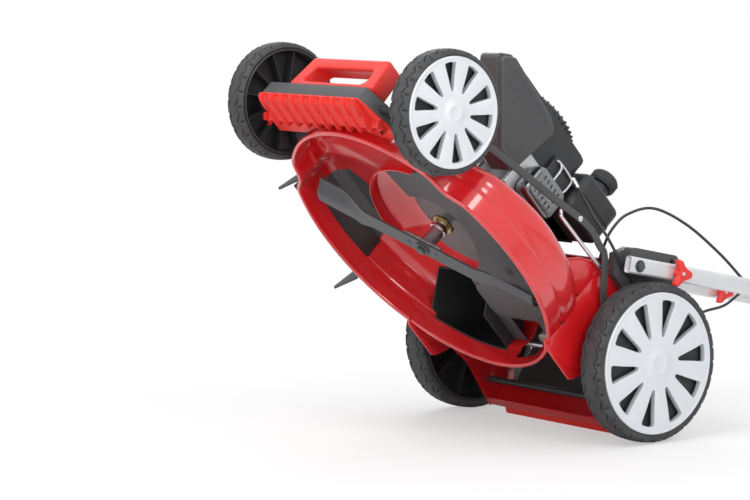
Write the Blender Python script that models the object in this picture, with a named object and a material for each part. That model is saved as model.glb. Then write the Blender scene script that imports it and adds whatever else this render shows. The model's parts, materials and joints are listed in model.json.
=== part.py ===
# Self-propelled lawn mower, standing on its four wheels.
# Metres, +Z up, the front faces -Y and the mower's own left side faces +X.
# Below, x is counted from the mower's centre plane, y from the rear wheels' axis and z from the
# ground. The empty ground_frame then puts the whole mower over the origin.
import math

import bmesh
import bpy
from mathutils import Matrix, Vector

# Clearances
GAP = 0.0003                    # between solids that touch on the real mower
RUN = 0.0004                    # radial, between a turning piece and what it turns on

# Wheels
WHEELBASE = 0.632
REAR_TYRE_R = 0.140
REAR_TYRE_WIDTH = 0.054
REAR_TRACK = 0.490              # between the middles of the two rear tyres
FRONT_TYRE_R = 0.104
FRONT_TYRE_WIDTH = 0.046
FRONT_TRACK = 0.464
TYRE_DEPTH_SHARE = 0.109        # tread and sidewall, as a share of the tyre's radius
CAP_PROUD = 0.004               # the hub cap's dome stands out of the wheel's outer plane
CAP_WALL = 0.0045
RIM_WALL = 0.0035
HUB_R = 0.021
SPOKES = 10
RIM_RIBS = 5
WHEEL_SIDES = 30
TREAD_GROW = 1 / math.cos(math.pi / WHEEL_SIDES)        # a flat of the tread then rests on the ground

# Height adjustment: cranked axles that swing in the chassis
REAR_PIVOT_BACK = 0.062         # cross rod behind the rear wheels' axis
REAR_PIVOT_DROP = 0.052         # and below it
FRONT_PIVOT_AHEAD = 0.036
FRONT_PIVOT_DROP = 0.040
CROSS_ROD_R = 0.0058
ARM_WALL = 0.006
ARM_HALF_WIDTH = 0.013
AXLE_R = 0.0075
STUB_R = 0.006

# Cutting deck
CRANK_Y = -0.3535               # crankshaft ahead of the rear wheels' axis
DECK_LEFT = 0.263
DECK_RIGHT = 0.2635
DECK_REACH = 0.283              # from the crankshaft to the front and to the rear wall
DECK_RIM_Z = 0.027
DECK_SHOULDER_Z = 0.128
DECK_NOSE_DROP = 0.040          # the shoulder runs down towards the front
DECK_WALL = 0.0025
DOME_TOP_Z = 0.165              # the raised seat of the engine
DOME_R = 0.118
SHAFT_HOLE_R = 0.032
DECK_SIDES = 40
POCKET_X = 0.2030               # beside each front wheel the wall runs in, so that the wheel can swing
POCKET_AHEAD = 0.1600           # ahead of the crankshaft
POCKET_START = math.radians(-27.6)

# Openings of the deck
SIDE_PORT = (-0.452, -0.274, 0.066, 0.150)      # y from, y to, z from, z to
PORT_ROOF = [(-0.204, -0.446), (-0.191, -0.397), (-0.189, -0.337), (-0.213, -0.309), (-0.262, -0.274)]
SIDE_FLAP_REACH = 0.330
SIDE_FLAP_LOW_Z = 0.0095
TUNNEL_X = (-0.165, -0.014)
TUNNEL_WALL = 0.0025
TUNNEL_FRONT_Y = -0.200         # its roof meets the deck's top here
TUNNEL_LIP_Z = 0.0605           # its floor starts on the deck's rear wall at this height

# Blade and its drive
SHAFT_R = 0.0111
BLADE_Z = 0.040
BLADE_HALF = 0.236
BLADE_WALL = 0.0032
BLADE_HALF_WIDTH = 0.027
BLADE_WAIST = 0.018
BLADE_LIFT = 0.016
BLADE_TURN = 0.508              # radians from +X, as the blade stopped
BLADE_BOLT_R = 0.0050
BELT_Z = 0.1515
BELT_WIDTH = 0.0080
BELT_WALL = 0.0060
CRANK_GROOVE_R = 0.022
GEAR_GROOVE_R = 0.024
PULLEY_FLANGE = 0.008
PULLEY_HEIGHT = 0.0140
GEARBOX_X = 0.058
WORM_AHEAD = 0.066              # the input shaft stands ahead of the drive axle
COVER_Z = 0.1275                # underside of the round cover
GUARD_Z = 0.0880                # underside of the dark guard, which closes the left of the chamber
GUARD_WALL = 0.0025
GUARD_BORE = 0.078              # its round edge about the shaft
GUARD_SCREWS = ((6, 0.160), (38, 0.150), (70, 0.160))      # degrees, radius
BAFFLE_START = -72              # degrees
BAFFLE_END = -190
BAFFLE_R = (0.150, 0.138)

# Rear body between the rear wheels
BODY_HALF = REAR_TRACK / 2 - 0.055       # the walls stand inside the rear wheels
BODY_WALL = 0.003
BODY_TOP_Z = 0.272
BODY_BACK_Y = 0.100

# Handle
PIVOT_Y = -0.140
PIVOT_Z = 0.237
HANDLE_ANGLE = math.radians(36.9)
LOWER_TUBE_X = REAR_TRACK / 2 - 0.010
LOWER_TUBE_HEIGHT = 0.030
LOWER_TUBE_WALL = 0.015
FOLD_S = 0.672                  # along the handle from its pivot bolt to the fold bolt
UPPER_REACH = 0.520
UPPER_TUBE_R = 0.0125
UPPER_BEND_R = 0.060
KNOB_S = 0.090
STUD_R = 0.0040
BAIL_R = 0.0040
BAIL_S = 0.420
BAIL_LIFT = math.radians(34)
DRIVE_BAIL_S = 0.385
DRIVE_BAIL_LIFT = math.radians(30)
STOP_BAIL_REACH = 0.120
DRIVE_BAIL_REACH = 0.118
HANDLE_SWING = math.radians(12)
GRIP_R = 0.0165

# Engine
SEAT_Z = DOME_TOP_Z + GAP
SHROUD_TOP_Z = 0.352
SHROUD_LOW_Z = 0.268
RECOIL_R = 0.088
RECOIL_TOP_Z = 0.380
STARTER_Z = 0.3605              # the rope comes out of the recoil cover here
CABLE_R = 0.0026
ROD_R = 0.0025                  # hinge rods of the rear door and the side flap

REAR_AXIS_Z = REAR_TYRE_R
FRONT_AXIS_Y = -WHEELBASE
FRONT_AXIS_Z = FRONT_TYRE_R
REAR_PIVOT = (REAR_PIVOT_BACK, REAR_AXIS_Z - REAR_PIVOT_DROP)
FRONT_PIVOT = (FRONT_AXIS_Y - FRONT_PIVOT_AHEAD, FRONT_AXIS_Z - FRONT_PIVOT_DROP)
REAR_OUTER_X = (REAR_TRACK + REAR_TYRE_WIDTH) / 2
FRONT_OUTER_X = (FRONT_TRACK + FRONT_TYRE_WIDTH) / 2
UPPER_TUBE_X = LOWER_TUBE_X + LOWER_TUBE_WALL / 2 + GAP + UPPER_TUBE_R
BELT_RISE = BELT_Z - BELT_WIDTH / 2

ALONG = Vector((0, math.cos(HANDLE_ANGLE), math.sin(HANDLE_ANGLE)))
ACROSS = Vector((0, -math.sin(HANDLE_ANGLE), math.cos(HANDLE_ANGLE)))


def on_handle(x, s, t=0.0):
    """A point at s along the handle from its pivot bolt and t above its middle line."""
    return Vector((x, PIVOT_Y, PIVOT_Z)) + ALONG * s + ACROSS * t


HANDLE_BACK_Y = on_handle(0, FOLD_S + UPPER_REACH).y + GRIP_R
FRONT_Y = FRONT_AXIS_Y - FRONT_TYRE_R * TREAD_GROW
CENTRE_Y = -(FRONT_Y + HANDLE_BACK_Y) / 2
CENTRE_X = (SIDE_FLAP_REACH - (REAR_OUTER_X + CAP_PROUD)) / 2

for leftover in list(bpy.data.objects):
    bpy.data.objects.remove(leftover, do_unlink=True)


# Materials

def finish(name, colour, roughness, metallic=0.0):
    mat = bpy.data.materials.new(name)
    mat.use_nodes = True
    shader = mat.node_tree.nodes["Principled BSDF"]
    shader.inputs["Base Color"].default_value = (*colour, 1)
    shader.inputs["Roughness"].default_value = roughness
    shader.inputs["Metallic"].default_value = metallic
    mat.diffuse_color = (*colour, 1)
    return mat


RED_PAINT = finish("red_paint", (0.58, 0.012, 0.016), 0.22)
RED_PLASTIC = finish("red_plastic", (0.72, 0.035, 0.025), 0.42)
CHARCOAL = finish("charcoal_plastic", (0.075, 0.077, 0.080), 0.55)
BLACK = finish("black_plastic", (0.020, 0.021, 0.023), 0.50)
RUBBER = finish("tyre_rubber", (0.055, 0.056, 0.060), 0.70)
SILVER_PLASTIC = finish("silver_plastic", (0.62, 0.64, 0.68), 0.38)
GREY_PLATE = finish("grey_plate", (0.19, 0.19, 0.195), 0.50)
STEEL = finish("plain_steel", (0.52, 0.52, 0.53), 0.32, 1.0)
DARK_STEEL = finish("dark_steel", (0.070, 0.075, 0.080), 0.45, 0.6)
ALLOY = finish("cast_alloy", (0.60, 0.61, 0.62), 0.42, 1.0)
TUBE_FINISH = finish("silver_tube", (0.66, 0.67, 0.70), 0.34, 0.5)
CABLE = finish("cable_sheath", (0.022, 0.022, 0.024), 0.50)
FOAM = finish("grip_foam", (0.028, 0.028, 0.030), 0.85)


# Bodies: an empty on each joint's axis

GROUND = bpy.data.objects.new("ground_frame", None)
bpy.context.scene.collection.objects.link(GROUND)
GROUND.location = (CENTRE_X, CENTRE_Y, 0)
AXIS_AT = {"root": Vector((0, 0, 0))}
CARRIER = {"root": GROUND}


def body(name, at, parent="root"):
    empty = bpy.data.objects.new("axis_" + name, None)
    bpy.context.scene.collection.objects.link(empty)
    AXIS_AT[name] = Vector(at)
    CARRIER[name] = empty
    empty.parent = CARRIER[parent]
    empty.location = AXIS_AT[name] - AXIS_AT[parent]


def add(name, data, mat, carrier="root", smooth=34):
    """A named object whose mesh is drawn in the mower's own coordinates."""
    obj = bpy.data.objects.new(name, data)
    bpy.context.scene.collection.objects.link(obj)
    data.materials.append(mat)
    obj.parent = CARRIER[carrier]
    obj.location = -AXIS_AT[carrier]
    if isinstance(data, bpy.types.Mesh):
        data.shade_smooth()
        data.set_sharp_from_angle(angle=math.radians(smooth))
    return obj


def helper(obj):
    obj.hide_render = True
    obj.display_type = "WIRE"
    return obj


def combine(obj, other, operation):
    step = obj.modifiers.new(operation.lower(), "BOOLEAN")
    step.operation = operation
    step.solver = "EXACT"
    step.object = helper(other)
    return obj


def cut(obj, *others):
    for other in others:
        combine(obj, other, "DIFFERENCE")
    return obj


def weld(obj, *others):
    for other in others:
        combine(obj, other, "UNION")
    return obj


# Mesh makers

def solid(verts, faces):
    """A mesh of one closed body, its faces turned outwards."""
    made = bpy.data.meshes.new("shape")
    bm = bmesh.new()
    corners = [bm.verts.new(v) for v in verts]
    for face in faces:
        bm.faces.new([corners[i] for i in face])
    bmesh.ops.recalc_face_normals(bm, faces=bm.faces)
    bm.to_mesh(made)
    bm.free()
    return made


def turned(profile, axis, centre, sides):
    """A closed profile of (radius, place along the axis) turned about X, Y or Z."""
    verts = []
    rings = []
    for radius, along in profile:
        count = 1 if radius == 0 else sides
        rings.append([len(verts) + i for i in range(count)])
        for i in range(count):
            turn = 2 * math.pi * i / sides
            across, up = radius * math.cos(turn), radius * math.sin(turn)
            spot = {"X": (along, across, up), "Y": (up, along, across), "Z": (across, up, along)}[axis]
            verts.append(Vector(spot) + Vector(centre))
    faces = []
    for one, two in zip(rings, rings[1:] + rings[:1]):
        for i in range(sides):
            j = (i + 1) % sides
            loop = [one[i % len(one)], one[j % len(one)], two[j % len(two)], two[i % len(two)]]
            face = list(dict.fromkeys(loop))
            if len(face) > 2:
                faces.append(face)
    return solid(verts, faces)


def pushed(outline, axis, low, high):
    """An outline pushed from low to high along X, Y or Z. It is (y, z), (x, z) or (x, y)."""
    place = {"X": lambda p, h: (h, p[0], p[1]),
             "Y": lambda p, h: (p[0], h, p[1]),
             "Z": lambda p, h: (p[0], p[1], h)}[axis]
    n = len(outline)
    verts = [place(p, low) for p in outline] + [place(p, high) for p in outline]
    faces = [list(range(n)), list(range(2 * n - 1, n - 1, -1))]
    faces += [[i, (i + 1) % n, n + (i + 1) % n, n + i] for i in range(n)]
    return solid(verts, faces)


def block(low, high):
    (x0, y0, z0), (x1, y1, z1) = low, high
    return pushed([(x0, y0), (x1, y0), (x1, y1), (x0, y1)], "Z", z0, z1)


def rounded(corners, radius, steps=3):
    """An outline whose corners are arcs."""
    points = []
    n = len(corners)
    for i, corner in enumerate(corners):
        here = Vector(corner)
        back = (Vector(corners[i - 1]) - here).normalized()
        ahead = (Vector(corners[(i + 1) % n]) - here).normalized()
        half = back.angle(ahead) / 2
        reach = radius / math.tan(half)
        middle = here + (back + ahead).normalized() * (radius / math.sin(half))
        start = here + back * reach - middle
        end = here + ahead * reach - middle
        sweep = start.angle_signed(end)
        for k in range(steps + 1):
            points.append(tuple(middle + Matrix.Rotation(-sweep * k / steps, 2) @ start))
    return points


def circle(centre, radius, sides):
    return [(centre[0] + radius * math.cos(2 * math.pi * i / sides),
             centre[1] + radius * math.sin(2 * math.pi * i / sides)) for i in range(sides)]


def curve_through(points, steps):
    """Points on a smooth curve through a route's own points."""
    spots = [Vector(p) for p in points]
    ends = [2 * spots[0] - spots[1]] + spots + [2 * spots[-1] - spots[-2]]
    out = []
    for a, b, c, d in zip(ends, ends[1:], ends[2:], ends[3:]):
        for k in range(steps):
            t = k / steps
            out.append(0.5 * (2 * b + (c - a) * t + (2 * a - 5 * b + 4 * c - d) * t * t
                              + (3 * b - a - 3 * c + d) * t ** 3))
    out.append(spots[-1])
    return out


def bent(corners, radius, steps=4):
    """A wire's middle line: straight runs joined by arcs."""
    spots = [Vector(c) for c in corners]
    out = [spots[0]]
    for before, here, after in zip(spots, spots[1:], spots[2:]):
        back = (before - here).normalized()
        ahead = (after - here).normalized()
        half = back.angle(ahead) / 2
        reach = radius / math.tan(half)
        middle = here + (back + ahead).normalized() * (radius / math.sin(half))
        arm = here + back * reach - middle
        turn = math.pi - 2 * half
        spin = back.cross(ahead)
        for k in range(steps + 1):
            out.append(middle + Matrix.Rotation(-turn * k / steps, 3, spin) @ arm)
    out.append(spots[-1])
    return out


def wire(points, radius, roundness):
    data = bpy.data.curves.new("wire", "CURVE")
    data.dimensions = "3D"
    data.bevel_depth = radius
    data.bevel_resolution = roundness
    data.use_fill_caps = True
    spline = data.splines.new("POLY")
    spline.points.add(len(points) - 1)
    for spot, point in zip(spline.points, points):
        spot.co = (*point, 1)
    return data


def wire_mesh(points, radius, roundness):
    """The same tube as a mesh, for one that gets bores."""
    rough = bpy.data.objects.new("rough", wire(points, radius, roundness))
    bpy.context.scene.collection.objects.link(rough)
    made = bpy.data.meshes.new_from_object(rough)
    bpy.data.objects.remove(rough, do_unlink=True)
    bm = bmesh.new()
    bm.from_mesh(made)
    bmesh.ops.remove_doubles(bm, verts=bm.verts, dist=0.00001)
    bmesh.ops.recalc_face_normals(bm, faces=bm.faces)
    bm.to_mesh(made)
    bm.free()
    return made


def drill(at, radius, reach, axis="X", sides=12):
    """A cutter rod centred at a point."""
    along = "XYZ".index(axis)
    return add("drill", turned([(0, at[along] - reach), (radius, at[along] - reach),
                                (radius, at[along] + reach), (0, at[along] + reach)],
                               axis, [0 if k == along else at[k] for k in range(3)], sides), DARK_STEEL)


def cutter(low, high):
    return add("cutter", block(low, high), DARK_STEEL)


def moved(made, matrix):
    made.transform(matrix)
    return made


# Joint axes
body("crank", (0, CRANK_Y, 0))
body("front_carrier", (0, *FRONT_PIVOT))
body("rear_carrier", (0, *REAR_PIVOT))
for side_name in ("left", "right"):
    body("front_%s_wheel" % side_name, (0, FRONT_AXIS_Y, FRONT_AXIS_Z), "front_carrier")
    body("rear_%s_wheel" % side_name, (0, 0, REAR_AXIS_Z), "rear_carrier")
body("drive_axle", (0, 0, REAR_AXIS_Z), "rear_carrier")
body("gearbox", (0, 0, REAR_AXIS_Z), "rear_carrier")
body("gear_input", (GEARBOX_X, -WORM_AHEAD, BELT_Z), "gearbox")
body("height_link", (0, 0, 0))
FLAP_HINGE = (-DECK_RIGHT + 0.0855, 0.1425)     # on the roof, inside the port
body("side_flap", (FLAP_HINGE[0], CRANK_Y, FLAP_HINGE[1]))
FLAP_SPAN = (SIDE_PORT[0] - 0.016, SIDE_PORT[1] + 0.034)
DOOR_HINGE = (0.058, BODY_TOP_Z + 0.004)
body("rear_door", (0, *DOOR_HINGE))
body("lower_handle", (0, PIVOT_Y, PIVOT_Z))
body("upper_handle", on_handle(0, FOLD_S), "lower_handle")
for side, side_name in ((1, "left"), (-1, "right")):
    body("bracket_knob_" + side_name, on_handle(side * LOWER_TUBE_X, KNOB_S), "lower_handle")
    body("fold_knob_" + side_name, on_handle(side * LOWER_TUBE_X, FOLD_S), "lower_handle")
body("stop_bail", on_handle(0, FOLD_S + BAIL_S, 0), "upper_handle")
body("drive_bail", on_handle(0, FOLD_S + DRIVE_BAIL_S, 0), "upper_handle")
FUEL_CAP_AT = (0.074, -0.196)
FUEL_NECK_Z = 0.362
body("fuel_cap", (*FUEL_CAP_AT, FUEL_NECK_Z))
body("starter_grip", (0, 0, 0))


# Wheels

def capsule(one, two, radius, steps=6):
    """An outline with round ends about two points."""
    a, b = Vector(one), Vector(two)
    heading = math.atan2(b.y - a.y, b.x - a.x)
    points = []
    for centre, start in ((b, heading - math.pi / 2), (a, heading + math.pi / 2)):
        for k in range(steps + 1):
            turn = start + math.pi * k / steps
            points.append((centre.x + radius * math.cos(turn), centre.y + radius * math.sin(turn)))
    return points


def window_outline(cap_r, turn):
    """One opening between two spokes: a wedge, narrow near the hub."""
    step = 2 * math.pi / SPOKES
    inner, outer = 0.38 * cap_r, 0.90 * cap_r
    narrow, wide = 0.10 * step, 0.27 * step
    corners = [(inner, -narrow), (outer, -wide), (outer, wide), (inner, narrow)]
    return [(r * math.cos(turn + a), r * math.sin(turn + a)) for r, a in corners]


def wheel(end, side_name, side, axis, tyre_r, width, outer_x, axle_r, turn):
    carrier = "%s_%s_wheel" % (end, side_name)
    label = "%s_%s_" % (end, side_name)
    centre = (0, *axis)
    cap_r = tyre_r * (1 - TYRE_DEPTH_SHARE)

    def at(depth):
        return side * (outer_x - depth)

    crown = tyre_r * TREAD_GROW
    tread = [(cap_r + GAP, at(0.003)), (crown - 0.006, at(0.001)), (crown - 0.001, at(0.008)),
             (crown, at(0.014)), (crown, at(width - 0.012)), (crown - 0.006, at(width)),
             (cap_r + GAP, at(width - 0.002))]
    add(label + "tyre", turned(tread, "X", centre, WHEEL_SIDES), RUBBER, carrier)

    cap = [(0, at(-CAP_PROUD)), (0.010, at(-CAP_PROUD)), (0.017, at(-0.001)), (cap_r - 0.003, at(0)),
           (cap_r, at(0.002)), (cap_r, at(CAP_WALL)), (0, at(CAP_WALL))]
    hub_cap = add(label + "hub_cap", turned(cap, "X", centre, WHEEL_SIDES), SILVER_PLASTIC, carrier)
    for i in range(SPOKES):
        hole = [(axis[0] + y, axis[1] + z) for y, z in window_outline(cap_r, turn + 2 * math.pi * i / SPOKES)]
        low, high = sorted((at(-0.02), at(CAP_WALL + 0.01)))
        cut(hub_cap, add("window", pushed(hole, "X", low, high), BLACK, carrier))

    dish, face = 0.016, CAP_WALL + GAP
    bore = axle_r + RUN
    barrel = cap_r - RIM_WALL
    rim_line = [(bore, at(face + 0.004)), (HUB_R, at(face + 0.004)), (HUB_R, at(dish)), (barrel, at(dish)),
                (barrel, at(face)), (cap_r, at(face)), (cap_r, at(width)), (barrel, at(width)),
                (barrel, at(dish + RIM_WALL)), (HUB_R, at(dish + RIM_WALL)), (HUB_R, at(width)),
                (bore, at(width))]
    rim = add(label + "rim", turned(rim_line, "X", centre, WHEEL_SIDES), BLACK, carrier)
    low, high = sorted((at(dish + RIM_WALL / 2), at(width - 0.007)))
    for i in range(RIM_RIBS):
        spin = turn + 2 * math.pi * (i + 0.5) / RIM_RIBS
        rib = block((low, HUB_R - 0.002, -0.0012), (high, barrel + 0.001, 0.0012))
        rib.transform(Matrix.Translation(centre) @ Matrix.Rotation(spin, 4, "X"))
        weld(rim, add("rib", rib, BLACK, carrier))


# Axles, gearbox and height lever

FRONT_EAR = (FRONT_PIVOT[0] + 0.0185, FRONT_PIVOT[1] - 0.0352)
REAR_EAR = (REAR_PIVOT[0] + 0.0185, REAR_PIVOT[1] + 0.0560)


def axle_frame(name, carrier, pivot, axis, ear, arm_in, stub_to, stub_r):
    rod = add(name, wire_mesh([(-arm_in - 0.001, *pivot), (arm_in + 0.001, *pivot)], CROSS_ROD_R, 4),
              BLACK, carrier)
    for side in (-1, 1):
        low, high = sorted((side * arm_in, side * (arm_in + ARM_WALL)))
        weld(rod, add("arm", pushed(capsule(pivot, axis, ARM_HALF_WIDTH), "X", low, high), BLACK, carrier))
        if stub_r:
            low, high = sorted((side * (arm_in + 0.001), side * stub_to))
            weld(rod, add("stub", pushed(circle(axis, stub_r, 16), "X", low, high), BLACK, carrier))
    weld(rod, add("ear", pushed(capsule(pivot, ear, 0.009), "X", arm_in, arm_in + ARM_WALL), BLACK, carrier))
    return rod


def front_end():
    axis = (FRONT_AXIS_Y, FRONT_AXIS_Z)
    inner_x = FRONT_OUTER_X - FRONT_TYRE_WIDTH
    axle_frame("front_axle", "front_carrier", FRONT_PIVOT, axis, FRONT_EAR, inner_x - 0.013,
               FRONT_OUTER_X - 0.010, STUB_R)
    for side, side_name in ((1, "left"), (-1, "right")):
        wheel("front", side_name, side, axis, FRONT_TYRE_R, FRONT_TYRE_WIDTH, FRONT_OUTER_X, STUB_R,
              math.radians(0))


def rear_end():
    axis = (0, REAR_AXIS_Z)
    arm_in = BODY_HALF + 0.006
    frame = axle_frame("rear_axle_frame", "rear_carrier", REAR_PIVOT, axis, REAR_EAR, arm_in, 0, 0)
    cut(frame, drill((0, *axis), AXLE_R + RUN, 0.3, "X", 16))
    for side, side_name in ((1, "left"), (-1, "right")):
        wheel("rear", side_name, side, axis, REAR_TYRE_R, REAR_TYRE_WIDTH, REAR_OUTER_X, AXLE_R,
              math.radians(18))
    reach = REAR_OUTER_X - 0.010
    add("drive_axle", pushed(circle(axis, AXLE_R, 16), "X", -reach, reach), STEEL, "drive_axle")


def gearbox():
    """Alloy housing round the drive axle, with the worm's tower ahead of it."""
    axis = (0, REAR_AXIS_Z)
    half = 0.024
    shell = add("gearbox_housing", pushed(circle(axis, 0.026, 16), "X", GEARBOX_X - half, GEARBOX_X + half),
                ALLOY, "gearbox")
    tower_top = BELT_RISE - 0.0040
    neck = block((GEARBOX_X - 0.014, -WORM_AHEAD, REAR_AXIS_Z - 0.020),
                 (GEARBOX_X + 0.014, 0, REAR_AXIS_Z - 0.002))
    tower = pushed(circle((GEARBOX_X, -WORM_AHEAD), 0.017, 12), "Z", REAR_AXIS_Z - 0.040, tower_top)
    weld(shell, add("neck", neck, ALLOY, "gearbox"), add("tower", tower, ALLOY, "gearbox"))
    cut(shell, drill((GEARBOX_X, *axis), AXLE_R + RUN, 0.1, "X", 16),
        drill((GEARBOX_X, -WORM_AHEAD, tower_top), STUB_R + RUN, 0.020, "Z", 16))
    line = pulley_profile(GEAR_GROOVE_R, 0)
    spindle = [(0, -0.0175), (STUB_R, -0.0175), (STUB_R, line[0][1])] + line[1:-1] + [(0, line[-1][1])]
    add("gearbox_pulley", turned(spindle, "Z", (GEARBOX_X, -WORM_AHEAD, BELT_Z), 24), STEEL, "gear_input")


def pulley_profile(groove_r, bore_r):
    """A belt groove between two flanges, as (radius, height above the belt's middle)."""
    half = PULLEY_HEIGHT / 2
    lip = (PULLEY_HEIGHT - BELT_WIDTH) / 4
    rim = groove_r + PULLEY_FLANGE
    return [(bore_r, -half), (rim, -half), (rim, -half + lip), (groove_r, -BELT_WIDTH / 2 - GAP),
            (groove_r, BELT_WIDTH / 2 + GAP), (rim, half - lip), (rim, half), (bore_r, half)]


def height_control():
    """The lever on the right axle arm, leaning back in the lowest notch, and the link to the front."""
    y, z = REAR_PIVOT
    lean = math.radians(52)
    reach = 0.205
    tip = (y + reach * math.cos(lean), z + reach * math.sin(lean))
    near = -(BODY_HALF + 0.006 + ARM_WALL + GAP)
    blade = add("height_lever", pushed(capsule((y, z), tip, 0.010), "X", near - 0.004, near), DARK_STEEL,
                "rear_carrier")
    knob = turned([(0, -0.012), (0.011, -0.010), (0.014, 0.0), (0.011, 0.010), (0, 0.012)],
                  "X", (near - 0.002, *tip), 14)
    weld(blade, add("lever_knob", knob, BLACK, "rear_carrier"))
    link_x = BODY_HALF + 0.006 + ARM_WALL + GAP
    path = [FRONT_EAR, (-0.570, 0.031), (-0.552, 0.048), (-0.552, 0.105), (-0.530, 0.139), (-0.4973, 0.1529),
            (-0.3569, 0.1913), (-0.2559, 0.2186), (-0.2064, 0.2161), (-0.1822, 0.2105), (-0.1287, 0.1610),
            (-0.100, 0.158), (0.020, 0.166), REAR_EAR]
    add("height_link", pushed(ribbon(path, 0.0062), "X", link_x, link_x + 0.0035), CHARCOAL, "height_link")


def ribbon(points, half):
    """The outline of a flat bar along a line of points."""
    spots = [Vector(p) for p in points]
    left, right = [], []
    for i, spot in enumerate(spots):
        back = (spot - spots[i - 1]).normalized() if i else (spots[1] - spot).normalized()
        ahead = (spots[i + 1] - spot).normalized() if i < len(spots) - 1 else back
        heading = (back + ahead).normalized()
        normal = Vector((-heading.y, heading.x)) / max(0.5, heading.dot(ahead))
        left.append(tuple(spot + normal * half))
        right.append(tuple(spot - normal * half))
    return left + right[::-1]


# Cutting deck

def deck_rows():
    """Outside of the deck from its rim up to the engine's seat: offset, own radius, height, drop."""
    return [(0.0045, None, DECK_RIM_Z + 0.003, 0), (0.0030, None, DECK_RIM_Z, 0),
            (0.0000, None, DECK_RIM_Z + 0.004, 0), (0.0015, None, 0.070, 0),
            (0.0035, None, 0.098, 0.6), (0.0000, None, DECK_SHOULDER_Z - 0.010, 0.9),
            (-0.0140, None, DECK_SHOULDER_Z, 1.0), (-0.060, None, DECK_SHOULDER_Z + 0.004, 0.5),
            (0, DOME_R + 0.020, 0.135, 0), (0, DOME_R + 0.002, 0.135, 0), (0, DOME_R, DOME_TOP_Z - 0.003, 0),
            (0, DOME_R - 0.006, DOME_TOP_Z, 0), (0, SHAFT_HOLE_R, DOME_TOP_Z, 0)]


def deck_point(turn, row, pocket=False):
    offset, own, height, drop = row
    away = DECK_LEFT if math.cos(turn) > 0 else DECK_RIGHT
    across = own if own else away + offset
    along = own if own else DECK_REACH + offset
    nose = max(0.0, -math.sin(turn)) ** 1.4
    x, y = across * math.cos(turn), CRANK_Y + along * math.sin(turn)
    if pocket and own is None and offset > -0.05:
        x = math.copysign(POCKET_X + offset, x)
        y = CRANK_Y - POCKET_AHEAD - offset / 2
    return Vector((x, y, height - drop * nose * DECK_NOSE_DROP))


def deck_ring(row):
    """The deck's outline at one height, with the wheel pockets at both front corners."""
    points = []
    step = 2 * math.pi / DECK_SIDES
    for i in range(DECK_SIDES):
        turn = step * i
        below = round(math.degrees(math.asin(math.sin(turn))))
        if below == -27:
            turn = POCKET_START if math.cos(turn) > 0 else -math.pi - POCKET_START
        points.append(deck_point(turn, row, below == -36))
    return points


def deck_skin(rows, closed):
    """The deck's outside as an open skin, or as a closed plug."""
    made = bpy.data.meshes.new("deck")
    bm = bmesh.new()
    rings = [[bm.verts.new(point) for point in deck_ring(row)] for row in rows]
    for one, two in zip(rings, rings[1:]):
        for i in range(DECK_SIDES):
            j = (i + 1) % DECK_SIDES
            bm.faces.new([one[i], one[j], two[j], two[i]])
    if closed:
        bm.faces.new(rings[0])
        bm.faces.new(rings[-1])
    bmesh.ops.recalc_face_normals(bm, faces=bm.faces)
    bm.to_mesh(made)
    bm.free()
    return made


def deck_plug():
    """A solid as large as the deck and one gap more, for what is fitted against the deck."""
    lip = deck_rows()[0][0] + GAP
    rows = [(lip, None, 0.0, 0), (lip, None, DECK_RIM_Z + 0.0036, 0)]
    rows += [(offset + GAP, own, height + GAP, drop) for offset, own, height, drop in deck_rows()[2:8]]
    return add("deck_plug", deck_skin(rows, True), RED_PAINT)


def deck_shell():
    deck = add("deck_shell", deck_skin(deck_rows(), False), RED_PAINT)
    wall = deck.modifiers.new("wall", "SOLIDIFY")
    wall.thickness = DECK_WALL
    wall.offset = -1
    weld(deck, deck_baffle())
    x, z = FLAP_HINGE
    low, high = FLAP_SPAN
    weld(deck, add("hinge_rod", turned([(0, low - 0.003), (ROD_R, low - 0.003), (ROD_R, high + 0.003),
                                        (0, high + 0.003)], "Y", (x, 0, z), 10), RED_PAINT))
    for y, foot in ((low - 0.0045, 0.1212), (high + 0.0005, 0.1306)):
        ear = [(x - 0.005, z + 0.0045), (x - 0.008, foot - 0.0006), (x + 0.008, foot + 0.0006),
               (x + 0.005, z + 0.0045)]
        weld(deck, add("ear", pushed(ear, "Y", y, y + 0.004), RED_PAINT))
    y0, y1, z0, z1 = SIDE_PORT
    outside = -DECK_RIGHT - 0.05
    roof = [(outside, y0), (PORT_ROOF[0][0], y0)] + PORT_ROOF + [(outside, y1)]
    cut(deck, cutter((outside, y0, z0), (-DECK_RIGHT + 0.030, y1, 0.110)),
        add("port_roof", pushed(roof, "Z", 0.100, z1), DARK_STEEL),
        cutter((TUNNEL_X[0] - GAP, TUNNEL_FRONT_Y - GAP, 0.060), (TUNNEL_X[1] + GAP, -0.02, 0.170)),
        gearbox_window(),
        cutter((-0.030, -0.258, BELT_Z - 0.0105), (0.062, -0.200, BELT_Z + 0.0100)))


def about_crank(degrees, radius):
    """A point in plan, round the crankshaft."""
    turn = math.radians(degrees)
    return radius * math.cos(turn), CRANK_Y + radius * math.sin(turn)


def baffle_radius(degrees):
    share = (degrees - BAFFLE_START) / (BAFFLE_END - BAFFLE_START)
    return BAFFLE_R[0] + (BAFFLE_R[1] - BAFFLE_R[0]) * share


def deck_baffle():
    """The red curved wall that leads the clippings round the cover to the side port."""
    steps = 14
    inner, outer = [], []
    for k in range(steps + 1):
        degrees = BAFFLE_START + (BAFFLE_END - BAFFLE_START) * k / steps
        for line, spare in ((inner, 0), (outer, DECK_WALL)):
            line.append(about_crank(degrees, baffle_radius(degrees) + spare))
    return add("spiral_baffle", pushed(inner + outer[::-1], "Z", 0.080, 0.1335), RED_PAINT)


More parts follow.
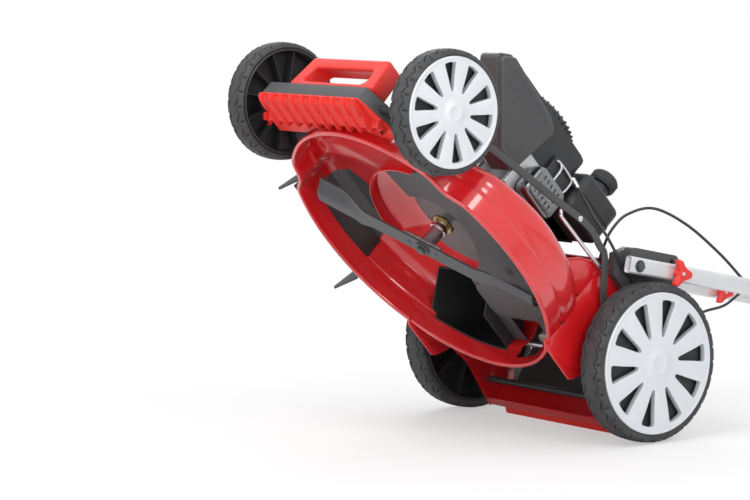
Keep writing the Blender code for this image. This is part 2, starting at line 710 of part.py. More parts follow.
def belt_covers():
    """The round cover under the pulley and the dark guard that closes the left of the chamber."""
    flange_z = 0.135 - DECK_WALL - GAP
    dish = [(0.0165, COVER_Z), (DOME_R - 0.020, COVER_Z), (DOME_R - 0.010, flange_z - 0.003),
            (DOME_R + 0.012, flange_z - 0.003), (DOME_R + 0.012, flange_z), (DOME_R - 0.012, flange_z),
            (DOME_R - 0.022, COVER_Z + 0.0025), (0.0165, COVER_Z + 0.0025)]
    add("belt_cover", turned(dish, "Z", (0, CRANK_Y, 0), 36), GREY_PLATE)
    guard = add("belt_guard", pushed(guard_outline(), "Z", GUARD_Z, GUARD_Z + GUARD_WALL), CHARCOAL)
    seat = 0.1309
    for degrees, radius in GUARD_SCREWS:
        x, y = about_crank(degrees, radius)
        low = GUARD_Z + 0.001
        weld(guard, drill((x, y, (seat + low) / 2), 0.006, (seat - low) / 2, "Z", 12))
    cut(guard, gearbox_window())


def gearbox_window():
    return cutter((GEARBOX_X - 0.036, -0.150, 0.048), (GEARBOX_X + 0.036, -0.02, 0.170))


def guard_outline():
    """In plan: round the shaft, out to the tunnel, round the deck's wall and back inside the baffle."""
    points = []
    round_edge = [(-105, GUARD_BORE), (30, GUARD_BORE), (70, 0.098), (97, 0.1285)]
    for (one, r0), (two, r1) in zip(round_edge, round_edge[1:]):
        steps = round((two - one) / 13.5)
        points += [about_crank(one + (two - one) * k / steps, r0 + (r1 - r0) * k / steps)
                   for k in range(steps)]
    beside = TUNNEL_X[1] + GAP
    wall = deck_ring((-0.0020, None, 0, 0))
    left = [(p.x, p.y) for p in wall if p.x > beside + 0.01 and p.y > CRANK_Y - 0.190]
    left.sort(key=lambda p: -math.atan2(p[1] - CRANK_Y, p[0]))
    points += [(beside, -0.224), (beside, left[0][1])] + left
    points.append(about_crank(BAFFLE_START + 2, BAFFLE_R[0] - 0.0015))
    return points + [about_crank(a, baffle_radius(a) - 0.0008) for a in (-75, -85, -95, -105)]


def tunnel_line():
    """Side view of the discharge tunnel, rising from the chamber to the rear door."""
    return [(-0.150, TUNNEL_LIP_Z), (-0.066, TUNNEL_LIP_Z), (-0.026, 0.158), (0.050, 0.168), (0.050, 0.262),
            (-0.040, 0.238), (TUNNEL_FRONT_Y, 0.1325), (TUNNEL_FRONT_Y, 0.1290)]


def tunnel_bore():
    """Side view of the space inside it, open to the chamber and at the rear."""
    wall = TUNNEL_WALL
    return [(-0.230, TUNNEL_LIP_Z + wall), (-0.066 - wall * 0.8, TUNNEL_LIP_Z + wall),
            (-0.026 - wall, 0.158 + wall), (0.050 - wall, 0.168 + wall), (0.080, 0.168 + wall),
            (0.080, 0.262 - wall), (0.050 - wall, 0.262 - wall), (-0.040, 0.238 - wall * 1.2),
            (TUNNEL_FRONT_Y + wall, 0.1325 - wall * 0.4), (TUNNEL_FRONT_Y + wall, 0.1240), (-0.230, 0.100)]


def discharge_tunnel():
    x0, x1 = TUNNEL_X
    inside = -DECK_WALL - GAP
    chamber = deck_skin([(inside, None, 0.0, 0), (inside, None, TUNNEL_LIP_Z + 0.006, 0)], True)
    tunnel = add("discharge_tunnel", pushed(tunnel_line(), "X", x0, x1), BLACK)
    cut(tunnel, add("bore", pushed(tunnel_bore(), "X", x0 + TUNNEL_WALL, x1 - TUNNEL_WALL), BLACK),
        add("chamber_plug", chamber, BLACK))


# Bodywork

def rear_body():
    """Side walls between the rear wheels, with a top, a rear channel and the lever's quadrant."""
    half, wall = BODY_HALF, BODY_WALL
    side = [(-0.165, 0.030), (-0.100, 0.030), (-0.050, 0.062), (0.000, 0.070), (BODY_BACK_Y, 0.055),
            (BODY_BACK_Y, 0.112), (0.054, 0.160), (0.054, BODY_TOP_Z), (-0.110, BODY_TOP_Z),
            (-0.165, 0.200)]
    shell = add("rear_body", pushed(side, "X", half - wall, half), RED_PAINT)
    weld(shell, add("right_wall", pushed(side, "X", -half, -half + wall), RED_PAINT),
         cutter((-half + wall / 2, -0.108, BODY_TOP_Z - wall), (half - wall / 2, 0.052, BODY_TOP_Z)),
         cutter((-half + wall / 2, BODY_BACK_Y - 0.020, 0.057), (half - wall / 2, BODY_BACK_Y - 0.001, 0.060)),
         cutter((-half + wall / 2, BODY_BACK_Y - 0.004, 0.0575), (half - wall / 2, BODY_BACK_Y - 0.001, 0.108)))
    slot = capsule((0.002, REAR_AXIS_Z + 0.001), (-0.020, REAR_AXIS_Z - 0.049), AXLE_R + 0.006)
    cut(shell, deck_plug(), add("slot", pushed(slot, "X", -0.3, 0.3), BLACK),
        drill((0, *REAR_PIVOT), CROSS_ROD_R + RUN, 0.3, "X", 16))
    quadrant = [(REAR_PIVOT[0] + r * math.cos(math.radians(a)), REAR_PIVOT[1] + r * math.sin(math.radians(a)))
                for r, a in [(0.036, 96), (0.060, 96), (0.060, 78), (0.060, 60), (0.060, 42), (0.036, 42),
                             (0.036, 69)]]
    y, z = DOOR_HINGE
    rod_x = half - 0.009
    weld(shell, add("hinge_rod", turned([(0, -rod_x), (ROD_R, -rod_x), (ROD_R, rod_x), (0, rod_x)],
                                        "X", (0, y, z), 10), RED_PAINT))
    for x in (-rod_x - 0.0015, rod_x - 0.0025):
        weld(shell, add("ear", pushed(capsule((y - 0.014, z - 0.012), (y, z), 0.0055), "X", x, x + 0.004),
                        RED_PAINT))
    weld(shell, add("quadrant", pushed(quadrant, "X", -half - 0.004, -half + 0.001), RED_PAINT))


def knuckle(axis, centre, low, high):
    """The rolled tube of a hinge, bored for its rod."""
    ring = [(ROD_R + RUN, low), (0.0055, low), (0.0055, high), (ROD_R + RUN, high)]
    return turned(ring, axis, centre, 12)


def rear_door():
    y, z = DOOR_HINGE
    wide = BODY_HALF - 0.012
    door = add("rear_door", knuckle("X", (0, y, z), -wide, wide), CHARCOAL, "rear_door")
    plate = [(y + 0.0030, z - 0.0010), (y + 0.0050, z + 0.0010), (0.110, 0.128), (0.108, 0.116),
             (0.104, 0.116), (0.105, 0.127), (y + 0.0036, z - 0.0040)]
    weld(door, add("plate", pushed(plate, "X", -wide, wide), CHARCOAL, "rear_door"))


def skirt():
    """The lower red strip that trails behind the rear channel."""
    face = BODY_BACK_Y - 0.001 + GAP
    line = [(face, 0.060), (BODY_BACK_Y + 0.018, 0.052), (BODY_BACK_Y + 0.020, 0.055),
            (BODY_BACK_Y + 0.004, 0.064), (BODY_BACK_Y + 0.004, 0.098), (face, 0.098)]
    add("rear_skirt", pushed(line, "X", -0.150, 0.150), RED_PLASTIC)


BUMPER_SHIFT = -0.0245
BUMPER_FRONT = 0.707            # ahead of the rear wheels' axis
BUMPER_KINK = 0.1365
BUMPER_HALF = 0.1675
BUMPER_CORNER = 0.649
TRIM_Z = (0.0513, 0.0765)       # the dark band across the front
COMB_BACK = 0.616               # the comb's plate ends here
RIB_BACK = 0.640                # and its ribs here
RIB_COUNT = 12
BUMPER_EARS = (-0.140, 0.105)   # they carry the front axle's rod
CARRY_DEPTH = 0.040             # the carry handle, front to back
CARRY_TOP = 0.146


def bumper_edge(x, back=0.0):
    """How far ahead the bumper reaches at x."""
    away = abs(x - BUMPER_SHIFT)
    share = max(0.0, (away - BUMPER_KINK) / (BUMPER_HALF - BUMPER_KINK))
    return -(BUMPER_FRONT - back - share * (BUMPER_FRONT - BUMPER_CORNER))


def deck_front(x, spare):
    """The deck's front wall in plan, with some space ahead of it."""
    away = DECK_LEFT if x > 0 else DECK_RIGHT
    share = min(0.99, abs(x) / (away + spare))
    return CRANK_Y - (DECK_REACH + spare) * math.sqrt(1 - share * share)


def bumper():
    """One red moulding, the comb with the carry handle, and the dark band on it."""
    ends = (BUMPER_SHIFT - BUMPER_HALF, BUMPER_SHIFT + BUMPER_HALF)
    kinks = (BUMPER_SHIFT - BUMPER_KINK, BUMPER_SHIFT + BUMPER_KINK)
    xs = (ends[0], kinks[0], kinks[1], ends[1])
    front = [(x, bumper_edge(x)) for x in xs]
    backs = [ends[1] - (ends[1] - ends[0]) * k / 8 for k in range(9)]
    plate = front + [(x, min(-COMB_BACK, deck_front(x, -0.004))) for x in backs]
    comb = add("front_bumper", pushed(plate, "Z", 0.0480, 0.0510), RED_PLASTIC)
    pitch = 2 * (BUMPER_HALF - 0.0055) / (RIB_COUNT - 1)
    for k in range(RIB_COUNT):
        x = BUMPER_SHIFT + (k - (RIB_COUNT - 1) / 2) * pitch
        nose, tail = bumper_edge(x), -max(COMB_BACK, min(RIB_BACK, -bumper_edge(x) - 0.020))
        line = [(nose + 0.001, 0.0500), (nose - 0.005, 0.0420), (nose + 0.008, 0.0345), (tail, 0.0330),
                (tail, 0.0490)]
        weld(comb, add("rib", pushed(line, "X", x - 0.0016, x + 0.0016), RED_PLASTIC))
    for x in BUMPER_EARS:
        ear = rounded([(FRONT_PIVOT[0] - 0.012, 0.050), (FRONT_PIVOT[0] + 0.012, 0.050),
                       (FRONT_PIVOT[0] + 0.012, FRONT_PIVOT[1] + 0.011),
                       (FRONT_PIVOT[0] - 0.012, FRONT_PIVOT[1] + 0.011)], 0.004, 2)
        weld(comb, add("ear", pushed(ear, "X", x - 0.004, x + 0.004), RED_PLASTIC))

    band = front + [(x, bumper_edge(x, 0.009)) for x in reversed(xs)]
    trim = add("bumper_trim", pushed(band, "Z", *TRIM_Z), CHARCOAL)
    cut(trim, drill((0, *FRONT_PIVOT), CROSS_ROD_R + RUN, 0.3, "X", 16))

    foot, top = TRIM_Z[1] + GAP, CARRY_TOP
    loop = [(-0.117, foot), (0.117, foot), (0.107, top - 0.006), (0.101, top), (-0.101, top),
            (-0.107, top - 0.006)]
    gap_line = rounded([(-0.088, 0.092), (0.088, 0.092), (0.084, 0.121), (-0.084, 0.121)], 0.006, 2)
    depth = (-BUMPER_FRONT + 0.003, -BUMPER_FRONT + 0.003 + CARRY_DEPTH)
    handle = helper(add("carry_handle", pushed(loop, "Y", *depth), RED_PLASTIC))
    cut(handle, add("finger_gap", pushed(gap_line, "Y", depth[0] - 0.05, depth[1] + 0.05), RED_PLASTIC))
    weld(comb, handle,
         cutter((-0.115, depth[1] - 0.002, foot), (0.115, -0.580, foot + 0.0065)),
         cutter((-0.100, -BUMPER_FRONT + 0.0093, 0.0500), (0.100, depth[0] + 0.021, foot + 0.0017)))
    cut(comb, deck_plug(), drill((0, *FRONT_PIVOT), CROSS_ROD_R + RUN, 0.3, "X", 16))


def side_flap():
    """The side deflector, hung from a rod on the roof: it closes the port and has a wing at each end."""
    x, z = FLAP_HINGE
    y0, y1 = FLAP_SPAN
    outer = [(x - 0.0035, z + 0.0012), (-0.262, z), (-0.2840, z - 0.0200), (-0.2905, 0.0520)]
    inner = [(-0.2880, 0.0518), (-0.2815, z - 0.0190), (-0.2612, z - 0.0025), (x - 0.0035, z - 0.0013)]
    flap = add("side_flap", knuckle("Y", (x, 0, z), y0, y1), CHARCOAL, "side_flap")
    weld(flap, add("plate", pushed(outer + inner, "Y", y0, y1), CHARCOAL, "side_flap"))
    for y, low_z in ((y0, 0.041), (y1 - 0.003, SIDE_FLAP_LOW_Z)):
        fin = [(-0.2828, z - 0.0195), (-0.2890, 0.030 + low_z), (-SIDE_FLAP_REACH + 0.004, low_z),
               (-SIDE_FLAP_REACH, low_z + 0.004)]
        weld(flap, add("fin", pushed(fin, "Y", y - 0.0001, y + 0.0031), CHARCOAL, "side_flap"))


def arc_slot():
    """The slot that lets the handle's clamp stud swing about the pivot bolt."""
    half = STUD_R + RUN
    points = []
    steps = 6
    for k in range(steps + 1):
        turn = HANDLE_SWING * k / steps
        points.append((KNOB_S + half, turn))
    for k in range(1, 6):
        turn = math.pi * k / 6
        points.append((KNOB_S + half * math.cos(turn), HANDLE_SWING + half * math.sin(turn) / KNOB_S))
    for k in range(steps + 1):
        points.append((KNOB_S - half, HANDLE_SWING * (1 - k / steps)))
    for k in range(1, 6):
        turn = math.pi * k / 6
        points.append((KNOB_S - half * math.cos(turn), -half * math.sin(turn) / KNOB_S))
    spots = [on_handle(0, r * math.cos(a), r * math.sin(a)) for r, a in points]
    return [(p.y, p.z) for p in spots]


def handle_brackets():
    for side, side_name in ((1, "left"), (-1, "right")):
        inner = side * (BODY_HALF + GAP)
        face = side * (LOWER_TUBE_X - LOWER_TUBE_WALL / 2 - GAP)
        nose = [(-0.0088, 0.0), (-0.0062, -0.0062), (0.0, -0.0088), (0.014, -0.0140)]
        top = rounded([(0.104, -0.014), (0.104, 0.031), (-0.011, 0.031), (-0.011, 0.0)], 0.010, 3)[4:12]
        pad = [on_handle(0, s, t) for s, t in nose + [(0.094, -0.014), (0.104, -0.004)] + top]
        step_x = BODY_HALF + 0.0160
        low, high = sorted((side * step_x, face))
        plate = add("handle_bracket_" + side_name, pushed([(p.y, p.z) for p in pad], "X", low, high), CHARCOAL)
        foot = [(-0.145, 0.205), (-0.020, 0.205), (-0.004, 0.262), (-0.040, 0.335), (-0.062, 0.332),
                (-0.158, 0.262), (-0.172, 0.232)]
        low, high = sorted((inner, side * (step_x + 0.0015)))
        weld(plate, add("foot", pushed(foot, "X", low, high), CHARCOAL))
        wall_x = side * (LOWER_TUBE_X - LOWER_TUBE_WALL / 2)
        cut(plate, deck_plug(), drill(on_handle(wall_x, 0), STUD_R + RUN, 0.0185, "X", 12),
            add("arc_slot", pushed(arc_slot(), "X", wall_x - 0.0185, wall_x + 0.0185), BLACK))


# Blade and drive

def blade_parts():
    middle = (0, CRANK_Y, 0)
    add("crankshaft", turned([(0, 0.0600), (SHAFT_R, 0.0600), (SHAFT_R, 0.2500), (0, 0.2500)],
                             "Z", middle, 20), STEEL, "crank")
    collar = [(0, BLADE_Z + BLADE_WALL + GAP), (0.0135, BLADE_Z + BLADE_WALL + GAP), (0.0135, 0.0830),
              (0.0160, 0.0835), (0.0160, 0.0930), (SHAFT_R + GAP, 0.0930), (SHAFT_R + GAP, 0.0595),
              (0, 0.0595)]
    adapter = add("blade_adapter", turned(collar, "Z", middle, 20), STEEL, "crank")
    flange = block((-0.039, -0.0200, BLADE_Z + BLADE_WALL + GAP),
                   (0.039, 0.0200, BLADE_Z + BLADE_WALL + 0.0045))
    spin = Matrix.Translation(middle) @ Matrix.Rotation(BLADE_TURN, 4, "Z")
    weld(adapter, add("flange", moved(flange, spin), STEEL, "crank"))
    cut(adapter, drill((0, CRANK_Y, 0.048), BLADE_BOLT_R + GAP, 0.0080, "Z", 12))

    blade = add("blade", moved(blade_mesh(), spin), DARK_STEEL, "crank")
    cut(blade, drill((0, CRANK_Y, BLADE_Z), BLADE_BOLT_R + GAP, 0.02, "Z", 12))

    bolt = add("blade_bolt", turned([(0, 0.0310), (0.0080, 0.0310), (0.0085, 0.0325), (0.0085, 0.0370),
                                     (0.0140, 0.0372), (0.0140, BLADE_Z - GAP), (BLADE_BOLT_R, BLADE_Z - GAP),
                                     (BLADE_BOLT_R, 0.0550), (0, 0.0550)], "Z", middle, 12), DARK_STEEL, "crank")
    pulley = [(r, BELT_Z + h) for r, h in pulley_profile(CRANK_GROOVE_R, SHAFT_R + GAP)]
    add("crank_pulley", turned(pulley, "Z", middle, 24), STEEL, "crank")
    return bolt


def blade_mesh():
    """A flat bar, waisted in the middle, whose trailing edges lift towards its ends."""
    rows = []
    stations = [-1, -0.80, -0.62, -0.50, -0.30, 0.30, 0.50, 0.62, 0.80, 1]
    for share in stations:
        x = share * BLADE_HALF
        wide = BLADE_WAIST if abs(share) < 0.4 else (BLADE_HALF_WIDTH if abs(share) > 0.6 else 0.022)
        lift = BLADE_LIFT * max(0.0, (abs(share) - 0.5) / 0.3) if abs(share) < 0.8 else BLADE_LIFT
        turn = 1 if share > 0 else -1
        rows.append([(x, -turn * wide, 0), (x, turn * wide * 0.35, 0), (x, turn * wide, lift)])
    verts, faces = [], []
    for row in rows:
        ordered = row if row[0][1] < row[2][1] else row[::-1]
        verts += [(x, y, BLADE_Z + z) for x, y, z in ordered]
        verts += [(x, y, BLADE_Z + BLADE_WALL + z) for x, y, z in reversed(ordered)]
    size = 6
    for k in range(len(rows) - 1):
        for i in range(size):
            j = (i + 1) % size
            a, b = k * size, (k + 1) * size
            faces.append([a + i, a + j, b + j, b + i])
    faces.append(list(range(size)))
    faces.append([(len(rows) - 1) * size + i for i in range(size)])
    return solid(verts, faces)


def belt_loop(grow):
    """A line round both pulleys at some distance outside their grooves."""
    a, b = Vector((0, CRANK_Y)), Vector((GEARBOX_X, -WORM_AHEAD))
    ra, rb = CRANK_GROOVE_R + grow, GEAR_GROOVE_R + grow
    heading = math.atan2(b.y - a.y, b.x - a.x)
    lean = math.acos((ra - rb) / (b - a).length)
    points = []
    for centre, radius, start, end in ((b, rb, heading - lean, heading + lean),
                                       (a, ra, heading + lean, heading + 2 * math.pi - lean)):
        for k in range(11):
            turn = start + (end - start) * k / 10
            points.append((centre.x + radius * math.cos(turn), centre.y + radius * math.sin(turn)))
    return points


def drive_belt():
    inner, outer = belt_loop(0.0006), belt_loop(0.0006 + BELT_WALL)
    n = len(inner)
    verts = []
    for z in (BELT_RISE, BELT_RISE + BELT_WIDTH):
        verts += [(*p, z) for p in inner] + [(*p, z) for p in outer]
    faces = []
    for i in range(n):
        j = (i + 1) % n
        faces += [[i, j, n + j, n + i], [2 * n + i, 2 * n + j, 3 * n + j, 3 * n + i],
                  [i, j, 2 * n + j, 2 * n + i], [n + i, n + j, 3 * n + j, 3 * n + i]]
    add("drive_belt", solid(verts, faces), RUBBER)


# Engine

def engine():
    y = CRANK_Y
    block_line = [(-0.088, y - 0.088), (0.088, y - 0.088), (0.088, y + 0.088), (-0.088, y + 0.088)]
    case = add("crankcase", pushed(rounded(block_line, 0.02, 3), "Z", SEAT_Z, SEAT_Z + 0.010), ALLOY)
    barrel = turned([(0, SEAT_Z + 0.005), (0.078, SEAT_Z + 0.005), (0.078, 0.246), (0.060, 0.262), (0, 0.262)],
                    "Z", (0, y, 0), 20)
    weld(case, add("barrel", barrel, ALLOY), cutter((0.040, y - 0.034, 0.185), (0.1145, y + 0.040, 0.255)))
    for k in range(5):
        x = 0.070 + 0.0105 * k
        weld(case, cutter((x, y - 0.036, 0.181), (x + 0.004, y + 0.050, 0.262)))
    weld(case, cutter((0.1040, y + 0.024, 0.225), (0.1060, y + 0.0875, 0.3080)))
    cut(case, drill((0, y, 0.2), SHAFT_R + RUN, 0.0515, "Z", 20))

    silencer = rounded([(y - 0.012, 0.190), (y + 0.070, 0.190),
                        (y + 0.070, 0.252), (y - 0.012, 0.252)], 0.014, 3)
    add("muffler", pushed(silencer, "X", 0.1165, 0.1500), STEEL)

    air = rounded([(-0.455, 0.186), (-0.408, 0.186), (-0.392, 0.300), (-0.420, 0.313), (-0.556, 0.322),
                   (-0.582, 0.300)], 0.010, 3)
    add("air_filter_cover", pushed(air, "X", 0.1000 + GAP, 0.1600), CHARCOAL)

    low, high = SHROUD_LOW_Z, SHROUD_TOP_Z
    plan = rounded([(-0.112, -0.500), (0.1000, -0.500), (0.1000, -0.262), (-0.112, -0.262)], 0.024, 3)
    shroud = add("blower_shroud", pushed(plan, "Z", low, high), BLACK)
    hollow = rounded([(-0.1095, -0.4975), (0.0975, -0.4975), (0.0975, -0.2645), (-0.1095, -0.2645)], 0.0215, 3)
    cut(shroud, add("hollow", pushed(hollow, "Z", low - 0.01, high - 0.003), BLACK),
        drill((0, y, high), 0.060, 0.02, "Z", 24))

    recoil = turned([(0.0615, high + GAP), (RECOIL_R, high + GAP), (RECOIL_R, RECOIL_TOP_Z - 0.012),
                     (RECOIL_R - 0.016, RECOIL_TOP_Z), (0, RECOIL_TOP_Z), (0, RECOIL_TOP_Z - 0.003),
                     (RECOIL_R - 0.018, RECOIL_TOP_Z - 0.003), (RECOIL_R - 0.003, RECOIL_TOP_Z - 0.014),
                     (RECOIL_R - 0.003, high + 0.0033), (0.0615, high + 0.0033)], "Z", (0, y, 0), 32)
    cover = add("recoil_cover", recoil, BLACK)
    cut(cover, drill((-0.020, y + RECOIL_R, STARTER_Z), 0.0026, 0.014, "Y", 10))

    tank_plan = rounded([(-0.020, -0.258), (0.118, -0.258), (0.118, -0.150), (-0.020, -0.150)], 0.018, 3)
    tank = add("fuel_tank", pushed(tank_plan, "Z", 0.262, 0.340), BLACK)
    weld(tank, add("neck", turned([(0, 0.335), (0.0215, 0.335), (0.0185, FUEL_NECK_Z), (0, FUEL_NECK_Z)],
                                  "Z", (*FUEL_CAP_AT, 0), 18), BLACK),
         cutter((0.010, -0.2615, 0.262), (0.050, -0.150, 0.272)))
    add("fuel_cap", turned([(0, FUEL_NECK_Z + GAP), (0.0265, FUEL_NECK_Z + GAP), (0.0265, FUEL_NECK_Z + 0.021),
                            (0.0225, FUEL_NECK_Z + 0.025), (0, FUEL_NECK_Z + 0.025)],
                           "Z", (*FUEL_CAP_AT, 0), 20), BLACK, "fuel_cap")
    bracket = cutter((0.010, -0.250, 0.200), (0.050, -0.245, 0.2617))
    weld(case, bracket, cutter((0.010, -0.290, 0.200), (0.050, -0.246, 0.206)))


def starter():
    """The pull grip, seated on the rope's eye behind the recoil cover."""
    y, z = CRANK_Y + RECOIL_R + 0.004, STARTER_Z
    grip = turned([(0, 0), (0.0055, 0), (0.0065, 0.014), (0.0075, 0.016), (0.0075, 0.030), (0, 0.030)],
                  "Z", (0, 0, 0), 12)
    handle = add("starter_grip", moved(grip, Matrix.Translation((-0.020, y, z))
                                       @ Matrix.Rotation(math.pi / 2, 4, "X") @ Matrix.Rotation(math.pi, 4, "X")),
                 BLACK, "starter_grip")
    bar = rounded([(-0.055, z - 0.009), (0.015, z - 0.009), (0.015, z + 0.009), (-0.055, z + 0.009)], 0.008, 3)
    weld(handle, add("bar", pushed(bar, "Y", y + 0.028, y + 0.044), BLACK, "starter_grip"))
    rope = [(-0.020, CRANK_Y + RECOIL_R - 0.010, z), (-0.020, y - GAP, z)]
    add("starter_rope", wire(rope, 0.0022, 2), CABLE, "starter_grip")


# Handle

def lower_handle():
    across, up = LOWER_TUBE_WALL / 2, LOWER_TUBE_HEIGHT / 2
    section = rounded([(-across, -up), (across, -up), (across, up), (-across, up)],
                      0.0055, 2)
    for side, side_name in ((1, "left"), (-1, "right")):
        frame = Matrix((Vector((1, 0, 0)), ACROSS, ALONG)).transposed().to_4x4()
        tube = pushed(section, "Z", -0.022, FOLD_S + 0.020)
        place = Matrix.Translation(on_handle(side * LOWER_TUBE_X, 0)) @ frame
        bar = add("lower_handle_" + side_name, moved(tube, place), TUBE_FINISH, "lower_handle")
        weld(bar, drill(on_handle(side * (LOWER_TUBE_X - 0.0065), 0), STUD_R, 0.0175, "X", 12),
             drill(on_handle(side * (LOWER_TUBE_X + LOWER_TUBE_WALL / 2 + 0.002), 0), 0.0085, 0.0040, "X", 6))
        for s in (KNOB_S, FOLD_S):
            cut(bar, drill(on_handle(side * LOWER_TUBE_X, s), STUD_R + RUN, 0.03, "X", 12))
        wing_knob("bracket_knob_" + side_name, side, KNOB_S, side * (LOWER_TUBE_X + LOWER_TUBE_WALL / 2 + GAP),
                  side, LOWER_TUBE_WALL + 0.010)
        wing_knob("fold_knob_" + side_name, side, FOLD_S, side * (LOWER_TUBE_X - LOWER_TUBE_WALL / 2 - GAP),
                  -side, LOWER_TUBE_WALL + 2 * UPPER_TUBE_R)


def wing_knob(name, side, s, face, out, stud):
    """A red two-winged knob on its stud; out is the way that it faces."""
    wing = [(-0.006, -0.0222), (0.004, -0.0210), (0.010, -0.006), (0.0212, -0.007), (0.0230, 0.000),
            (0.0212, 0.007), (0.010, 0.006), (0.004, 0.0210), (-0.006, 0.0222), (-0.010, 0.014),
            (-0.009, -0.014)]
    spots = [on_handle(0, s + a, b) for a, b in wing]
    low, high = sorted((face + out * 0.004, face + out * 0.017))
    knob = add(name, pushed([(p.y, p.z) for p in spots], "X", low, high), RED_PLASTIC, name)
    spot = on_handle(0, s)
    low, high = sorted((face, face + out * 0.008))
    weld(knob, add("seat", pushed(circle((spot.y, spot.z), 0.0085, 14), "X", low, high), RED_PLASTIC, name))
    low, high = sorted((face + out * 0.002, face - out * stud))
    weld(knob, add("stud", pushed(circle((spot.y, spot.z), STUD_R, 10), "X", low, high), RED_PLASTIC, name))


def upper_handle():
    x = UPPER_TUBE_X
    low, high = FOLD_S - 0.026, FOLD_S + UPPER_REACH
    line = bent([on_handle(-x, low), on_handle(-x, high), on_handle(x, high), on_handle(x, low)],
                UPPER_BEND_R, 5)
    tube = add("upper_handle", wire_mesh(line, UPPER_TUBE_R, 3), TUBE_FINISH, "upper_handle")
    for side in (-1, 1):
        cut(tube, drill(on_handle(side * x, FOLD_S), STUD_R + RUN, 0.03, "X", 12))
        mount = rounded([(DRIVE_BAIL_S - 0.016, -0.011), (BAIL_S + 0.016, -0.011), (BAIL_S + 0.016, 0.011),
                         (DRIVE_BAIL_S - 0.016, 0.011)], 0.006, 2)
        spots = [on_handle(0, FOLD_S + a, b) for a, b in mount]
        inner, outer = sorted((side * (x - UPPER_TUBE_R - 0.016), side * (x - UPPER_TUBE_R + 0.003)))
        weld(tube, add("mount", pushed([(p.y, p.z) for p in spots], "X", inner, outer), BLACK, "upper_handle"))
        for s in (BAIL_S, DRIVE_BAIL_S):
            bore_at = on_handle(side * (x - UPPER_TUBE_R - 0.012), FOLD_S + s)
            cut(tube, drill(bore_at, BAIL_R + RUN, 0.008, "X", 12))
    grip_half = x - UPPER_BEND_R - 0.012
    grip = add("handle_grip", turned([(UPPER_TUBE_R + GAP, -grip_half), (GRIP_R - 0.001, -grip_half),
                                      (GRIP_R, -grip_half + 0.004), (GRIP_R, grip_half - 0.004),
                                      (GRIP_R - 0.001, grip_half), (UPPER_TUBE_R + GAP, grip_half)],
                                     "X", (0, *on_handle(0, high).yz), 20), FOAM, "upper_handle")
    return grip


def bails():
    stop_x = UPPER_TUBE_X - UPPER_TUBE_R - 0.025
    end_x = stop_x + 0.020
    drive_x = stop_x - 2 * BAIL_R - 0.0015         # so that its legs pass inside the stop bail's
    for name, s, lift, reach, leg_x in (("stop_bail", BAIL_S, BAIL_LIFT, STOP_BAIL_REACH, stop_x),
                                        ("drive_bail", DRIVE_BAIL_S, -DRIVE_BAIL_LIFT, DRIVE_BAIL_REACH,
                                         drive_x)):
        def spot(x, r, up=lift, start=s):
            return on_handle(x, FOLD_S + start + r * math.cos(up), r * math.sin(up))
        line = bent([spot(-end_x, 0), spot(-leg_x, 0), spot(-leg_x, reach), spot(leg_x, reach),
                     spot(leg_x, 0), spot(end_x, 0)], 0.0075, 2)
        add(name, wire(line, BAIL_R, 3), RED_PLASTIC if name == "drive_bail" else BLACK, name)


def cables():
    """Each cable in two runs that meet at the clip on the left lower handle."""
    clip = 0.300
    inner = LOWER_TUBE_X - LOWER_TUBE_WALL / 2 - CABLE_R - 0.0012
    leg = UPPER_TUBE_X - UPPER_TUBE_R - CABLE_R - 0.0020
    runs = {
        "brake_cable_lower": [(0.1092, -0.2720, 0.3040), (0.135, -0.2500, 0.285), (0.172, -0.2300, 0.258),
                              (0.203, -0.2140, 0.240), (0.2125, -0.1850, 0.231), on_handle(0.2125, -0.0240, 0.0050),
                              on_handle(0.2125, -0.0095, -0.0090), on_handle(0.2125, 0.0150, -0.0255),
                              (0.2115, -0.075, 0.208), (0.2110, -0.030, 0.205), (0.2115, 0.020, 0.240),
                              (0.2125, 0.0532, 0.3094), (0.2185, 0.078, 0.352),
                              on_handle(inner, clip - 0.020, -0.006), on_handle(inner, clip, -0.005)],
        "drive_cable_lower": [(GEARBOX_X, 0, REAR_AXIS_Z + 0.0266), (GEARBOX_X, 0, 0.178), (0.060, -0.020, 0.193),
                              (0.072, -0.055, 0.212), (0.088, -0.090, 0.235), (0.120, -0.1402, 0.2727),
                              (0.130, -0.1563, 0.303), (0.140, -0.1569, 0.3389), (0.160, -0.1343, 0.3778),
                              (0.190, -0.0769, 0.3972), (0.210, 0.0088, 0.4092),
                              on_handle(inner - 0.001, 0.280, 0.009), on_handle(inner, clip, 0.005)],
        "brake_cable_upper": [on_handle(inner, clip + 0.001, -0.005), on_handle(inner, 0.420, -0.004),
                              on_handle(inner - 0.012, 0.560, -0.007), on_handle(inner - 0.022, 0.670, -0.012),
                              on_handle(inner - 0.014, 0.800, -0.010), on_handle(leg - 0.002, 0.900, -0.006),
                              on_handle(leg - 0.001, FOLD_S + DRIVE_BAIL_S - 0.0180, -0.006)],
        "drive_cable_upper": [on_handle(inner, clip + 0.001, 0.005), on_handle(inner, 0.420, 0.006),
                              on_handle(inner - 0.012, 0.560, 0.012), on_handle(inner - 0.022, 0.670, 0.024),
                              on_handle(inner - 0.014, 0.800, 0.014), on_handle(leg - 0.002, 0.900, 0.006),
                              on_handle(leg - 0.001, FOLD_S + DRIVE_BAIL_S - 0.0180, 0.006)],
    }
    for name, route in runs.items():
        carrier = "root" if name.endswith("lower") else "lower_handle"
        add(name, wire(curve_through(route, 4), CABLE_R, 2), CABLE, carrier)


front_end()
rear_end()
gearbox()
height_control()
deck_shell()
belt_covers()
discharge_tunnel()
rear_body()
rear_door()
skirt()
bumper()
side_flap()
handle_brackets()
blade_parts()
drive_belt()
engine()
starter()
lower_handle()
upper_handle()
bails()
cables()
